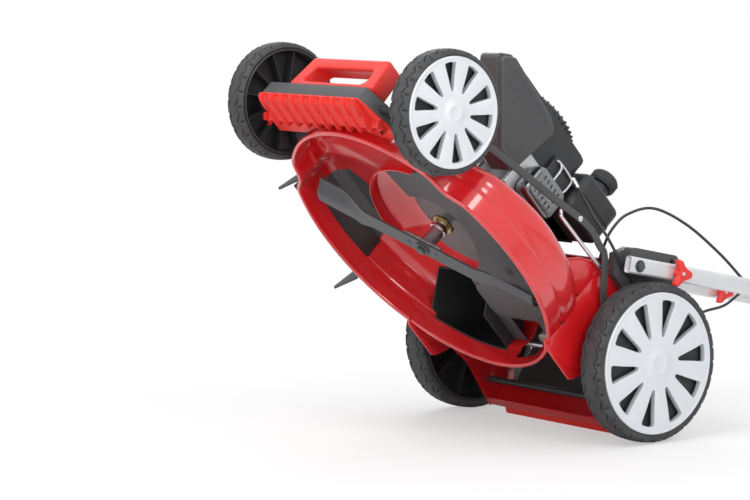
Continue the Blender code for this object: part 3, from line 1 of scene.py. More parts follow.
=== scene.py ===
# %% [markdown]
# # A self-propelled lawn mower, dressed for its photograph
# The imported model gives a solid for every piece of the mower. This lesson keeps each solid's
# place, gives it a finish that looks like paint, rubber, plastic or steel, and builds a finer
# mesh wherever the plain solid is too simple: tyres with their tread, the pressed deck, the
# blade, the comb at the front and the engine's covers.

# %% Load the frame
import json
import math

import bmesh
import bpy
from mathutils import Matrix, Vector

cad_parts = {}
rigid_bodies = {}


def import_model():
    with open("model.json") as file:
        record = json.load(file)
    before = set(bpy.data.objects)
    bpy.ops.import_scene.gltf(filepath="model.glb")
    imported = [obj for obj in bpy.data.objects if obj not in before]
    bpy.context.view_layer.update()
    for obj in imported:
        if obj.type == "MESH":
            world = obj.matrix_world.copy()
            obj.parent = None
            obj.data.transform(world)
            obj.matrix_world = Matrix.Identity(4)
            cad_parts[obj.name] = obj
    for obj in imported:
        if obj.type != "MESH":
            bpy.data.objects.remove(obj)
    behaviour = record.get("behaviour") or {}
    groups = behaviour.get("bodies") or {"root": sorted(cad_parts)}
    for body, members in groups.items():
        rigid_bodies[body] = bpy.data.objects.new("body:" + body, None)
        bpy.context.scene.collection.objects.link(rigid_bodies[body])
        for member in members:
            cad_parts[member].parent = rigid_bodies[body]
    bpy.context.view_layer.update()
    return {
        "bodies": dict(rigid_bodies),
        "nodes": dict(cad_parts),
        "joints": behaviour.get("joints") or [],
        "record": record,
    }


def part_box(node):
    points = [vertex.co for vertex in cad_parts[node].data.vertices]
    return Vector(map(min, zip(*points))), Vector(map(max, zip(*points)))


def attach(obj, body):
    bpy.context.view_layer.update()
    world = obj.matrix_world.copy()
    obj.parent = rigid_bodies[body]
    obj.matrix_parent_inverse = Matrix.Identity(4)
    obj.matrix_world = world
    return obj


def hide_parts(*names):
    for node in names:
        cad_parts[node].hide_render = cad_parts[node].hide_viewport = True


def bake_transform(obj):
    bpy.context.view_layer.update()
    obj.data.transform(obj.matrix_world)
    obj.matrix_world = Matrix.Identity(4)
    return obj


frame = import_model()

# %% [markdown]
# ## The mower's own coordinates
# It is easier to think from the mower's centre plane, the rear wheels' axis and the ground
# than from the frame's origin. Both come from the tyres, so nothing here has to be typed twice.

# %% Mower coordinates
def middle_of(node):
    """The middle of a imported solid's box."""
    low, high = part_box(node)
    return (low + high) / 2


REAR_AXIS = middle_of("rear_left_tyre")
CENTRE_X = (REAR_AXIS.x + middle_of("rear_right_tyre").x) / 2
ORIGIN = Vector((CENTRE_X, REAR_AXIS.y, 0))


def spot(x, y, z):
    """A point given from the centre plane, the rear axis and the ground."""
    return ORIGIN + Vector((x, y, z))


HANDLE_ANGLE = math.radians(36.9)
ALONG = Vector((0, math.cos(HANDLE_ANGLE), math.sin(HANDLE_ANGLE)))
ACROSS = Vector((0, -math.sin(HANDLE_ANGLE), math.cos(HANDLE_ANGLE)))
HANDLE_PIVOT = spot(0, -0.14, 0.237)


def on_handle(x, s, t=0.0):
    """A point s along the handle from its pivot bolt and t above its middle line."""
    return HANDLE_PIVOT + Vector((x, 0, 0)) + ALONG * s + ACROSS * t


def set_out(name, data):
    """A new object in the scene, at the origin."""
    obj = bpy.data.objects.new(name, data)
    bpy.context.scene.collection.objects.link(obj)
    return obj


print("origin of the mower's coordinates:", [round(v, 4) for v in ORIGIN])

# %% [markdown]
# ## Camera
# The photograph shows the mower tipped back onto its rear wheels and handle, as for cleaning the
# deck. The mower keeps standing level here, and the camera goes below and in front of it
# instead. The three rows are the picture's right, down and forward directions.

# %% Camera
RIGHT = Vector((0.60852, 0.52513, 0.59493))
DOWN = Vector((0.08162, 0.70432, -0.70518))
FORWARD = Vector((-0.78933, 0.47767, 0.38573))
FOCAL_PIXELS = 2777.45
PICTURE_WIDTH = 750
SENSOR_WIDTH = 36
CAMERA_SPOT = spot(3.76344, -2.70271, -1.87505)

camera = set_out("camera", bpy.data.cameras.new("camera"))
camera.data.sensor_width = SENSOR_WIDTH
camera.data.lens = FOCAL_PIXELS * SENSOR_WIDTH / PICTURE_WIDTH
turn = Matrix((RIGHT, -DOWN, -FORWARD)).transposed().to_4x4()
camera.matrix_world = Matrix.Translation(CAMERA_SPOT) @ turn
bpy.context.scene.camera = camera
bpy.context.scene.view_settings.view_transform = "Standard"
print("lens %.1f mm" % camera.data.lens)

# %% [markdown]
# ## Floor, lamps and white surroundings
# In the mower's coordinates the floor leans: it touches the rear wheels and rises towards the
# handle. It is seen from its front only, so that it never hides the mower in another view.
# The surroundings are white for the camera and for reflections, and softer for the light.

# %% Floor
LEAN = math.radians(48.57)
FLOOR_UP = Vector((0, -math.sin(LEAN), math.cos(LEAN)))
FLOOR_ALONG = Vector((0, math.cos(LEAN), math.sin(LEAN)))
TYRE_REACH = 0.1408
FLOOR_HALF = 7.0


def floor():
    middle = spot(0, 0, REAR_AXIS.z) - FLOOR_UP * (TYRE_REACH + 0.0005)
    corners = [middle + Vector((a * FLOOR_HALF, 0, 0)) + FLOOR_ALONG * (b * FLOOR_HALF)
               for a, b in ((-1, -1), (1, -1), (1, 1), (-1, 1))]
    made = bpy.data.meshes.new("floor")
    made.from_pydata(corners, [], [(0, 1, 2, 3)])
    obj = set_out("floor", made)
    return obj


FLOOR = floor()
print("floor leans %.1f degrees" % math.degrees(LEAN))

# %% Lamps and world
def lamp(name, place, aim, size, power):
    data = bpy.data.lights.new(name, "AREA")
    data.shape = "RECTANGLE"
    data.size, data.size_y = size
    data.energy = power
    obj = set_out(name, data)
    obj.location = place
    obj.rotation_mode = "QUATERNION"
    obj.rotation_quaternion = (aim - place).to_track_quat("-Z", "Y")


MIDDLE = spot(0, -0.32, 0.15)
UP, BACK = -DOWN, -FORWARD
lamp("key_softbox", MIDDLE + UP * 1.9 + BACK * 1.2 - RIGHT * 0.9, MIDDLE, (1.4, 1.0), 30)
lamp("fill_softbox", MIDDLE + BACK * 2.6 - RIGHT * 1.6 - UP * 0.05, MIDDLE, (1.6, 1.6), 12)
FLANK = spot(0.236, -0.482, 0.06)
for name, way in (("upper_window", (0.836, -0.433, 0.338)), ("lower_window", (0.88, -0.454, -0.14))):
    lamp(name, FLANK + Vector(way) * 2.5, FLANK, (0.66, 0.62), 12)
lamp("rear_softbox", MIDDLE - BACK * 2.2 + UP * 1.6, MIDDLE, (1.6, 1.2), 24)
SKY_FOR_LIGHT = 0.62


def add_node(tree, kind, settings=None, inputs=None):
    """A node whose settings are made first, and whose inputs are values or linked sockets."""
    made = tree.nodes.new(kind)
    for key, value in (settings or {}).items():
        setattr(made, key, value)
    for key, value in (inputs or {}).items():
        if isinstance(value, bpy.types.NodeSocket):
            tree.links.new(value, made.inputs[key])
        else:
            made.inputs[key].default_value = value
    return made


def set_world():
    world = bpy.data.worlds.new("surroundings")
    bpy.context.scene.world = world
    world.use_nodes = True
    tree = world.node_tree
    path = add_node(tree, "ShaderNodeLightPath").outputs
    seen = path["Is Camera Ray"]
    for other in ("Is Glossy Ray", "Is Transmission Ray"):
        either = add_node(tree, "ShaderNodeMath", {"operation": "MAXIMUM"}, {0: seen, 1: path[other]})
        seen = either.outputs[0]
    strength = add_node(tree, "ShaderNodeMapRange", None,
                        {"Value": seen, "To Min": SKY_FOR_LIGHT, "To Max": 1.0})
    sky = tree.nodes["Background"]
    sky.inputs["Color"].default_value = (1, 1, 1, 1)
    tree.links.new(strength.outputs[0], sky.inputs["Strength"])


set_world()

# %% [markdown]
# ## Writing materials as sums
# A material's pattern is easier to read as a sum than as a drawing of nodes. `Link` wraps the
# output of a node and adds a Math node for each operator, and `Paint` holds one material. Its
# `node` method makes any other node from its type, its settings and its inputs.

# %% A small language for materials
class Link:
    """One output of a node; operators on it add Math nodes."""

    def __init__(self, paint, socket):
        self.paint = paint
        self.socket = socket

    def __add__(self, other):
        return self.paint.math("ADD", self, other)

    def __sub__(self, other):
        return self.paint.math("SUBTRACT", self, other)

    def __mul__(self, other):
        return self.paint.math("MULTIPLY", self, other)

    def __rsub__(self, other):
        return self.paint.math("SUBTRACT", other, self)

    __radd__ = __add__
    __rmul__ = __mul__


class Paint:
    """One material: its shader's own sockets, and patterns that feed some of them."""

    def __init__(self, name, colour, roughness, metallic=0.0, coat=0.0, sheen=0.0):
        self.material = bpy.data.materials.new(name)
        self.material.use_nodes = True
        self.material.diffuse_color = (*colour, 1)
        self.tree = self.material.node_tree
        self.shader = self.tree.nodes["Principled BSDF"]
        self.colour = colour
        plain = {"Base Color": (*colour, 1), "Roughness": roughness, "Metallic": metallic,
                 "Coat Weight": coat, "Coat Roughness": 0.06, "Sheen Weight": sheen}
        for socket, value in plain.items():
            self.shader.inputs[socket].default_value = value
        self.place = self.node("ShaderNodeTexCoord", output="Object")

    def node(self, kind, settings=None, inputs=None, output=0):
        given = {key: value.socket if isinstance(value, Link) else value
                 for key, value in (inputs or {}).items()}
        return Link(self, add_node(self.tree, kind, settings, given).outputs[output])

    def math(self, operation, one, two):
        return self.node("ShaderNodeMath", {"operation": operation}, {0: one, 1: two})

    def stretched(self, scale):
        """The object's coordinates, scaled so that a pattern runs along one direction."""
        return self.node("ShaderNodeMapping", {}, {"Vector": self.place, "Scale": scale})

    def noise(self, scale, detail=3.0, vector=None):
        """Even cloud between 0 and 1; scale is in clouds per metre."""
        return self.node("ShaderNodeTexNoise", {},
                         {"Vector": vector or self.place, "Scale": scale, "Detail": detail})

    def cells(self, scale):
        """Distance to the nearest of many scattered points."""
        return self.node("ShaderNodeTexVoronoi", {}, {"Vector": self.place, "Scale": scale}, "Distance")

    def between(self, value, low, high):
        """0 below low, 1 above high."""
        return self.node("ShaderNodeMapRange", {},
                         {"Value": value, "From Min": low, "From Max": high})

    def mixed(self, factor, one, two):
        """A colour between two colours or links."""
        return self.node("ShaderNodeMix", {"data_type": "RGBA"},
                         {0: factor, 6: one, 7: two}, 2)

    def shades(self, factor, dark, light):
        """The finish's own colour, changing between two shares of it."""
        return self.mixed(factor, tone(self.colour, dark), tone(self.colour, light))

    def feed(self, **links):
        for key, value in links.items():
            self.tree.links.new(value.socket, self.shader.inputs[key.replace("_", " ").title()])
        return self

    def relief(self, height, depth, strength=1.0):
        """Small bumps of some depth in metres."""
        bump = self.node("ShaderNodeBump", {},
                         {"Height": height, "Distance": depth, "Strength": strength})
        self.tree.links.new(bump.socket, self.shader.inputs["Normal"])
        return self


def tone(colour, share):
    """The same colour, lighter or darker."""
    return tuple(min(1.0, c * share) for c in colour) + (1,)


print("Paint and Link are ready")

# %% [markdown]
# ## The mower's finishes
# Each finish starts from its colour and then gets what the real surface has: a clear coat with a
# faint ripple on the deck, a fine grain on moulded plastic, dust on rubber, and drawing marks on
# steel. The scales are real sizes, in patterns per metre.

# %% Painted and moulded finishes
def red_paint():
    paint = Paint("red_paint", (0.62, 0.01, 0.014), 0.3, coat=0.9)
    ripple = paint.noise(55, 2)
    cloud = paint.noise(7, 2)
    paint.feed(base_color=paint.shades(paint.between(cloud, 0.3, 0.7), 0.92, 1.08),
               roughness=paint.noise(240, 4) * 0.1 + 0.2)
    return paint.relief(ripple, 0.0005, 0.25)


def moulded(name, colour, roughness, grain, depth):
    """Moulded plastic: a fine leathery grain, a little uneven in colour."""
    paint = Paint(name, colour, roughness)
    skin = paint.cells(grain)
    cloud = paint.noise(24, 4)
    paint.feed(base_color=paint.shades(cloud, 0.88, 1.12),
               roughness=cloud * 0.16 + (roughness - 0.08))
    return paint.relief(skin, depth, 0.5)


def rubber(name, colour, dust_colour):
    """Rubber with a dull bloom and dry dust, and painted shade in the grooves: nearly black where the mesh
    marks a groove.
    """
    paint = Paint(name, colour, 0.72)
    dust = paint.between(paint.noise(38, 6), 0.42, 0.75)
    # The groove attribute darkens the colour to 0.15 of itself: painted shade in the tread's grooves.
    painted_groove_shade = paint.node("ShaderNodeAttribute", {"attribute_name": "groove"}, output="Fac")
    worn = paint.mixed(dust * 0.55, tone(colour, 1.0), (*dust_colour, 1))
    paint.feed(base_color=paint.mixed(painted_groove_shade, worn, tone(colour, 0.15)),
               roughness=dust * 0.12 + 0.62)
    return paint.relief(paint.noise(900, 3), 0.0003, 0.5)


def silver_plastic():
    """Silver lacquer on plastic: tiny flakes and a soft gloss."""
    paint = Paint("silver_plastic", (0.68, 0.7, 0.735), 0.34, metallic=0.15, coat=0.25)
    flakes = paint.cells(2600)
    cloud = paint.noise(30, 3)
    paint.feed(base_color=paint.shades(flakes, 0.9, 1.1),
               roughness=cloud * 0.12 + 0.28)
    return paint.relief(paint.noise(420, 3), 0.0002, 0.3)


FINISH = {"red_paint": red_paint(), "silver_plastic": silver_plastic()}
for name, colour, roughness, grain, depth in (
        ("red_plastic", (0.74, 0.034, 0.026), 0.42, 1500, 0.0002),
        ("charcoal_plastic", (0.056, 0.057, 0.06), 0.46, 1300, 0.0003),
        ("black_plastic", (0.022, 0.023, 0.025), 0.44, 1500, 0.0002),
        ("cable_sheath", (0.024, 0.024, 0.028), 0.38, 3000, 0.0001)):
    FINISH[name] = moulded(name, colour, roughness, grain, depth)
for name, colour, dust_colour in (("tyre_rubber", (0.034, 0.035, 0.038), (0.085, 0.083, 0.08)),
                                  ("belt_rubber", (0.02, 0.02, 0.022), (0.06, 0.058, 0.055))):
    FINISH[name] = rubber(name, colour, dust_colour)
print("moulded and painted finishes:", sorted(FINISH))

# %% Metal and foam finishes
def drawn(name, colour, roughness, along, metallic=1.0, relief=0.25):
    """Drawn or ground metal: long fine marks in one direction."""
    paint = Paint(name, colour, roughness, metallic=metallic)
    marks = paint.noise(60, 5, paint.stretched(along))
    cloud = paint.noise(16, 3)
    paint.feed(base_color=paint.shades(cloud, 0.86, 1.1),
               roughness=marks * 0.22 + (roughness - 0.1))
    return paint.relief(marks, 0.0002, relief)


def coated_steel(name, colour, roughness, wear_colour):
    """Powder-coated sheet whose coat has dulled in streaks."""
    paint = Paint(name, colour, roughness, metallic=0.25)
    streaks = paint.noise(18, 6, paint.stretched((6, 1, 1)))
    grain = paint.noise(1100, 3)
    worn = paint.between(streaks, 0.55, 0.8)
    paint.feed(base_color=paint.mixed(worn * 0.5, tone(colour, 1.0), (*wear_colour, 1)),
               roughness=streaks * 0.2 + (roughness - 0.1))
    return paint.relief(grain, 0.0003, 0.4)


def cast_alloy():
    """Die-cast aluminium with the grain of its mould."""
    paint = Paint("cast_alloy", (0.56, 0.57, 0.585), 0.42, metallic=1.0)
    grain = paint.noise(520, 5)
    cloud = paint.noise(22, 4)
    paint.feed(base_color=paint.shades(cloud, 0.72, 1.12),
               roughness=grain * 0.3 + 0.26)
    return paint.relief(grain, 0.0005, 0.5)


def foam():
    """Closed-cell foam sleeve on the handle, darker in each cell's pit and lighter between them: painted
    shade and light that follow the bump.
    """
    paint = Paint("grip_foam", (0.028, 0.028, 0.031), 0.92, sheen=0.25)
    holes = paint.cells(1400)
    paint.feed(base_color=paint.shades(holes, 0.6, 1.5),
               roughness=holes * 0.1 + 0.84)
    return paint.relief(holes, 0.0006, 0.8)


FINISH.update(cast_alloy=cast_alloy(), grip_foam=foam())
for name, colour, roughness, wear_colour in (
        ("black_steel", (0.032, 0.033, 0.036), 0.42, (0.075, 0.075, 0.078)),
        ("grey_plate", (0.175, 0.175, 0.18), 0.48, (0.27, 0.27, 0.275)),
        ("dark_steel", (0.075, 0.077, 0.082), 0.46, (0.145, 0.145, 0.15))):
    FINISH[name] = coated_steel(name, colour, roughness, wear_colour)
for name, colour, roughness, along in (("plain_steel", (0.76, 0.77, 0.79), 0.22, (1, 1, 14)),
                                       ("muffler_steel", (0.26, 0.265, 0.275), 0.27, (1, 8, 1)),
                                       ("zinc", (0.72, 0.73, 0.76), 0.2, (1, 6, 1)),
                                       ("brass", (0.5, 0.38, 0.17), 0.34, (1, 1, 8))):
    FINISH[name] = drawn(name, colour, roughness, along)
FINISH["silver_tube"] = drawn("silver_tube", (0.7, 0.71, 0.73), 0.36, (1, 1, 1), 0.55, 0.03)
print("finishes in all:", len(FINISH))

# %% Floor finish
def floor_finish():
    """White paper floor: bright where it is seen, with the mower's shadow kept."""
    made = bpy.data.materials.new("floor_paper")
    made.use_nodes = True
    tree = made.node_tree
    tree.nodes.clear()
    path = add_node(tree, "ShaderNodeLightPath").outputs
    side = add_node(tree, "ShaderNodeNewGeometry").outputs
    where = add_node(tree, "ShaderNodeTexCoord").outputs
    paper = add_node(tree, "ShaderNodeBsdfDiffuse", None, {"Color": (0.86, 0.86, 0.86, 1)})
    glow = add_node(tree, "ShaderNodeEmission", None, {"Strength": 1.0})
    clear = add_node(tree, "ShaderNodeBsdfTransparent")
    away = add_node(tree, "ShaderNodeVectorMath", {"operation": "DISTANCE"},
                    {0: where["Object"], 1: spot(0, -0.1, 0)}).outputs["Value"]
    fade = add_node(tree, "ShaderNodeMapRange", {"interpolation_type": "SMOOTHSTEP"},
                    {"Value": away, "From Min": 0.5, "From Max": 1.0, "To Min": 0.45, "To Max": 1.0})
    share = add_node(tree, "ShaderNodeMath", {"operation": "MULTIPLY"},
                     {0: path["Is Camera Ray"], 1: fade.outputs["Result"]})
    seen = add_node(tree, "ShaderNodeMixShader", None,
                    {0: share.outputs[0], 1: paper.outputs[0], 2: glow.outputs[0]})
    whole = add_node(tree, "ShaderNodeMixShader", None,
                     {0: side["Backfacing"], 1: seen.outputs[0], 2: clear.outputs[0]})
    add_node(tree, "ShaderNodeOutputMaterial", None, {0: whole.outputs[0]})
    return made


FLOOR.data.materials.append(floor_finish())
print("floor finished")

# %% [markdown]
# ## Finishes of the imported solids
# The record says which finish each solid takes. Every solid gets it here, also those that a
# finer mesh replaces later.

# %% Dress every node
SLOT_OF = {row["node"]: row["material_slot"] for row in frame["record"]["subparts"]}
for node, obj in frame["nodes"].items():
    obj.data.materials.clear()
    obj.data.materials.append(FINISH[SLOT_OF[node]].material)
print("nodes dressed:", len(SLOT_OF))

# %% [markdown]
# ## Mesh makers
# Almost every part of a mower is turned on a lathe, pressed, or cut from an outline. Each helper
# makes one of these shapes from a few numbers. A surface that is woven from rings of points
# covers the turned parts, the tubes and the pressed deck alike.

# %% Rings, turned shapes and pushed outlines
def mesh_of(verts, faces):
    made = bpy.data.meshes.new("shape")
    bm = bmesh.new()
    corners = [bm.verts.new(v) for v in verts]
    for face in faces:
        bm.faces.new([corners[i] for i in face])
    bmesh.ops.remove_doubles(bm, verts=bm.verts, dist=0.000004)
    bmesh.ops.recalc_face_normals(bm, faces=bm.faces)
    bm.to_mesh(made)
    bm.free()
    return made


HOME = Vector((0, 0, 0))


def woven(rings, around=True, along=False, caps=False):
    """A skin through rings of points; it closes around each ring, and along them if asked."""
    size = len(rings[0])
    verts = [point for ring in rings for point in ring]
    faces = []
    last = len(rings) if along else len(rings) - 1
    for k in range(last):
        one, two = k * size, (k + 1) % len(rings) * size
        for i in range(size if around else size - 1):
            j = (i + 1) % size
            faces.append([one + i, one + j, two + j, two + i])
    if caps:
        faces += [list(range(size)), [(len(rings) - 1) * size + i for i in range(size)]]
    return mesh_of(verts, faces)


def turned(profile, axis="Z", centre=HOME, sides=72):
    """A closed profile of (radius, place along the axis), turned about X, Y or Z."""
    rings = []
    for i in range(sides):
        angle = 2 * math.pi * i / sides
        ring = []
        for radius, along in profile:
            across, up = radius * math.cos(angle), radius * math.sin(angle)
            point = {"X": (along, across, up), "Y": (up, along, across), "Z": (across, up, along)}[axis]
            ring.append(Vector(point) + centre)
        rings.append(ring)
    return woven(rings, True, True)


def rod(radius, low, high, axis="Z", centre=HOME, sides=28):
    """A plain round bar, also used as a drill."""
    return turned([(0, low), (radius, low), (radius, high), (0, high)], axis, centre, sides)


def pushed(outline, axis, low, high, place=None):
    """A closed outline pushed along an axis; it is (y, z), (x, z) or (x, y) in place's frame."""
    place = place or Matrix.Translation(ORIGIN)
    stand = {"X": lambda p, h: (h, *p), "Y": lambda p, h: (p[0], h, p[1]), "Z": lambda p, h: (*p, h)}[axis]
    rings = [[place @ Vector(stand(p, h)) for p in outline] for h in (low, high)]
    return woven(rings, caps=True)


def joined(*meshes):
    bm = bmesh.new()
    for made in meshes:
        bm.from_mesh(made)
    whole = bpy.data.meshes.new("joined")
    bm.to_mesh(whole)
    bm.free()
    return whole


def circle(radius, sides):
    return [(radius * math.cos(2 * math.pi * i / sides), radius * math.sin(2 * math.pi * i / sides))
            for i in range(sides)]


def smooth(a, b, x):
    """0 before a, 1 after b, with a soft start and end."""
    t = max(0.0, min(1.0, (x - a) / (b - a)))
    return t * t * (3 - 2 * t)


print("mesh makers ready")

# %% Lines and tubes along a route
def flowing(a, b, c, d, steps):
    """Points from b towards c on the smooth line through four points."""
    shares = [k / steps for k in range(steps)]
    return [0.5 * (2 * b + (c - a) * t + (2 * a - 5 * b + 4 * c - d) * t * t
                   + (3 * b - a - 3 * c + d) * t ** 3) for t in shares]


def curve_through(points, steps):
    """A smooth line through points, from the first to the last."""
    spots = [Vector(p) for p in points]
    ends = [2 * spots[0] - spots[1]] + spots + [2 * spots[-1] - spots[-2]]
    out = []
    for a, b, c, d in zip(ends, ends[1:], ends[2:], ends[3:]):
        out += flowing(a, b, c, d, steps)
    return out + [spots[-1]]


def closed_curve(points, steps):
    """A smooth closed line through a ring of points."""
    out = []
    for i in range(len(points)):
        out += flowing(*(points[(i + k - 1) % len(points)] for k in range(4)), steps)
    return out


def bent(corners, radius, steps=10):
    """Straight runs joined by arcs, as a tube bender makes them."""
    spots = [Vector(c) for c in corners]
    out = [spots[0]]
    for before, here, after in zip(spots, spots[1:], spots[2:]):
        back, ahead = (before - here).normalized(), (after - here).normalized()
        half = back.angle(ahead) / 2
        middle = here + (back + ahead).normalized() * (radius / math.sin(half))
        arm = here + back * (radius / math.tan(half)) - middle
        for k in range(steps + 1):
            share = -(math.pi - 2 * half) * k / steps
            out.append(middle + Matrix.Rotation(share, 3, back.cross(ahead)) @ arm)
    return out + [spots[-1]]


def swept(points, radius, sides=14):
    """A round tube along points; its rings turn with the route and don't twist."""
    spots = [Vector(p) for p in points]
    headings = [(b - a).normalized() for a, b in zip(spots, spots[1:])]
    headings = [headings[0]] + [(a + b).normalized() for a, b in zip(headings, headings[1:])] + [headings[-1]]
    side = headings[0].orthogonal().normalized()
    rings = []
    for point, heading in zip(spots, headings):
        side = (side - heading * side.dot(heading)).normalized()
        up = heading.cross(side)
        rings.append([point + side * (radius * math.cos(2 * math.pi * i / sides))
                      + up * (radius * math.sin(2 * math.pi * i / sides)) for i in range(sides)])
    return woven(rings, caps=True)


print("tube makers ready")

# %% [markdown]
# ## Putting a piece on the mower
# A new piece rides on one of the mower's bodies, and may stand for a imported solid, which is then
# hidden. `softened` is for solids whose shape is right already: it copies the mesh, merges its
# loose triangles, and rounds the edges as a mould or a press does.

# %% Pieces
SOLID_EDGE = 32
BODY_OF = {node: body for body, nodes in frame["record"]["behaviour"]["bodies"].items() for node in nodes}


def piece(name, made, body, finish, replaced=(), sharp=35):
    """A mesh as a piece on a body, or on none."""
    made.name = name
    made.materials.clear()
    made.materials.append(FINISH[finish].material)
    made.shade_smooth()
    made.set_sharp_from_angle(angle=math.radians(sharp))
    obj = set_out(name, made)
    if body:
        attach(obj, body)
    if replaced:
        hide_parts(*replaced)
    return obj


def stand_in(node, name, made, sharp=35):
    """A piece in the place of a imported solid, with the solid's own body and finish."""
    return piece(name, made, BODY_OF[node], SLOT_OF[node], (node,), sharp)


def taken_from(bench):
    """The plain mesh that a bench object's modifiers make; the bench is put away."""
    graph = bpy.context.evaluated_depsgraph_get()
    graph.update()
    result = bpy.data.meshes.new_from_object(bench.evaluated_get(graph))
    bpy.data.objects.remove(bench)
    return result


def finished(made, *modifiers):
    """The mesh after some modifiers, each a type and its settings."""
    bench = set_out("bench", made)
    for kind, settings in modifiers:
        step = bench.modifiers.new(kind.lower(), kind)
        for key, value in settings.items():
            setattr(step, key, value)
    return taken_from(bench)


def bevelled(made, width, segments=2, limit=40):
    """The mesh with its edges rounded, where they are sharper than limit degrees."""
    return finished(made, ("BEVEL", {"width": width, "segments": segments, "limit_method": "ANGLE",
                                     "angle_limit": math.radians(limit)}))


def carved(made, *cutters):
    """The mesh with other meshes cut out of it."""
    helpers = [set_out("cutter", cutter) for cutter in cutters]
    steps = [("BOOLEAN", {"operation": "DIFFERENCE", "solver": "EXACT", "object": h}) for h in helpers]
    result = finished(made, *steps)
    for helper in helpers:
        bpy.data.objects.remove(helper)
    return result


def merged_copy(node):
    """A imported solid's mesh without its doubled corners and its flat triangles' edges."""
    made = frame["nodes"][node].data.copy()
    bm = bmesh.new()
    bm.from_mesh(made)
    bmesh.ops.remove_doubles(bm, verts=bm.verts, dist=0.00001)
    bmesh.ops.dissolve_limit(bm, angle_limit=math.radians(0.6), verts=bm.verts, edges=bm.edges)
    bm.to_mesh(made)
    bm.free()
    return made


def softened(node, width, steps=2):
    """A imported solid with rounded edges, in its own place and on its own body."""
    return stand_in(node, node + "_moulded", bevelled(merged_copy(node), width, steps, SOLID_EDGE))


print("piece makers ready")

# %% [markdown]
# ## A tree that repeats a shape
# Tread ribs, cooling fins, knurls and grille bars all repeat one small shape by an even step.
# One geometry-nodes tree does this: it places Count copies, each one Offset further and one Turn
# further round, moves the whole to Centre and gives it its finish.

# %% Repeating tree
def repeat_tree():
    tree = bpy.data.node_groups.new("repeat", "GeometryNodeTree")
    kinds = {"Geometry": "NodeSocketGeometry", "Count": "NodeSocketInt", "Offset": "NodeSocketVector",
             "Turn": "NodeSocketVector", "Start": "NodeSocketVector", "Centre": "NodeSocketVector",
             "Finish": "NodeSocketMaterial"}
    for label, kind in kinds.items():
        tree.interface.new_socket(label, in_out="INPUT", socket_type=kind)
    tree.interface.new_socket("Geometry", in_out="OUTPUT", socket_type="NodeSocketGeometry")

    def node(kind, inputs=None, operation=None):
        settings = {"operation": operation} if operation else None
        return add_node(tree, kind, settings, inputs).outputs

    given = node("NodeGroupInput")
    index = node("GeometryNodeInputIndex")[0]
    shift = node("ShaderNodeVectorMath", {0: given["Offset"], "Scale": index}, "SCALE")
    spin = node("ShaderNodeVectorMath", {0: given["Turn"], "Scale": index}, "SCALE")
    whole_spin = node("ShaderNodeVectorMath", {0: spin[0], 1: given["Start"]}, "ADD")
    line = node("GeometryNodeMeshLine", {"Count": given["Count"]})
    spread = node("GeometryNodeSetPosition", {"Geometry": line[0], "Position": shift[0]})
    copies = node("GeometryNodeInstanceOnPoints", {"Points": spread[0], "Instance": given["Geometry"],
                                                   "Rotation": whole_spin[0]})
    real = node("GeometryNodeRealizeInstances", {"Geometry": copies[0]})
    placed = node("GeometryNodeTransform", {"Geometry": real[0], "Translation": given["Centre"]})
    dressed = node("GeometryNodeSetMaterial", {"Geometry": placed[0], "Material": given["Finish"]})
    node("NodeGroupOutput", {"Geometry": dressed[0]})
    return tree


REPEAT = repeat_tree()


def repeated(made, count, finish, centre, offset=(0, 0, 0), turn=(0, 0, 0), start=(0, 0, 0)):
    """Copies of a mesh that is drawn about the origin, as one plain mesh."""
    bench = set_out("bench", made)
    step = bench.modifiers.new("repeat", "NODES")
    step.node_group = REPEAT
    values = {"Count": count, "Offset": offset, "Turn": turn, "Start": start, "Centre": tuple(centre),
              "Finish": FINISH[finish].material}
    for item in REPEAT.interface.items_tree:
        if item.name in values and item.in_out == "INPUT":
            step[item.identifier] = values[item.name]
    return taken_from(bench)


def slab(low, high):
    """A plain box drawn about the origin, to be repeated or cut with."""
    (x0, y0, z0), (x1, y1, z1) = low, high
    return pushed([(x0, y0), (x1, y0), (x1, y1), (x0, y1)], "Z", z0, z1, Matrix.Identity(4))


print("repeating tree has %d nodes" % len(REPEAT.nodes))

# %% [markdown]
# ## Wheels
# A mower wheel has three parts: a tyre with grooves that zigzag along both shoulders, a black
# rim whose back is a dish with thin ribs, and a silver cap with ten spokes over its face. The
# tyre is one woven skin whose points are pushed in where a groove runs, and its colour is darkened
# there as painted shade. The cap's windows are a filled curve, because Blender fills holes and
# rounds their edges by itself.

# %% Wheel sizes
WHEELS = {}
for end, tyre_r, width, zigzags, cap_turn in (("front", 0.104, 0.046, 24, 0.0),
                                              ("rear", 0.14, 0.054, 32, math.radians(18))):
    for side_name, side in (("left", 1), ("right", -1)):
        key = "%s_%s" % (end, side_name)
        low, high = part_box(key + "_tyre")
        WHEELS[key] = {"axis": (low + high) / 2, "outer": high.x if side > 0 else low.x, "side": side,
                       "tyre_r": tyre_r, "width": width, "zigzags": zigzags, "turn": cap_turn,
                       "cap_r": tyre_r * 0.891}
print("outer faces:", {key: round(w["outer"] - ORIGIN.x, 4) for key, w in WHEELS.items()})

# %% Tyres
TYRE_SIDES = 420


def groove(angle, depth, wheel):
    """How far the tread is pushed in: a zigzag near each shoulder, and a notch at its peaks."""
    step = 2 * math.pi / wheel["zigzags"]
    width = wheel["width"]
    cut = 0.0
    for line, lag in ((0.0115, 0.0), (width - 0.0125, 0.5)):
        phase = (angle / step + lag) % 1.0
        swing = abs(2 * phase - 1)
        away = abs(depth - (line + 0.0085 * (swing - 0.5) * (1 if lag == 0 else -1)))
        cut = max(cut, 1 - smooth(0.0006, 0.0021, away))
        near_peak = min(phase, 1 - phase) * step * wheel["tyre_r"]
        outside = depth < line - 0.003 if lag == 0 else depth > line + 0.003
        if outside:
            cut = max(cut, 0.9 * (1 - smooth(0.0008, 0.003, near_peak)))
    return cut


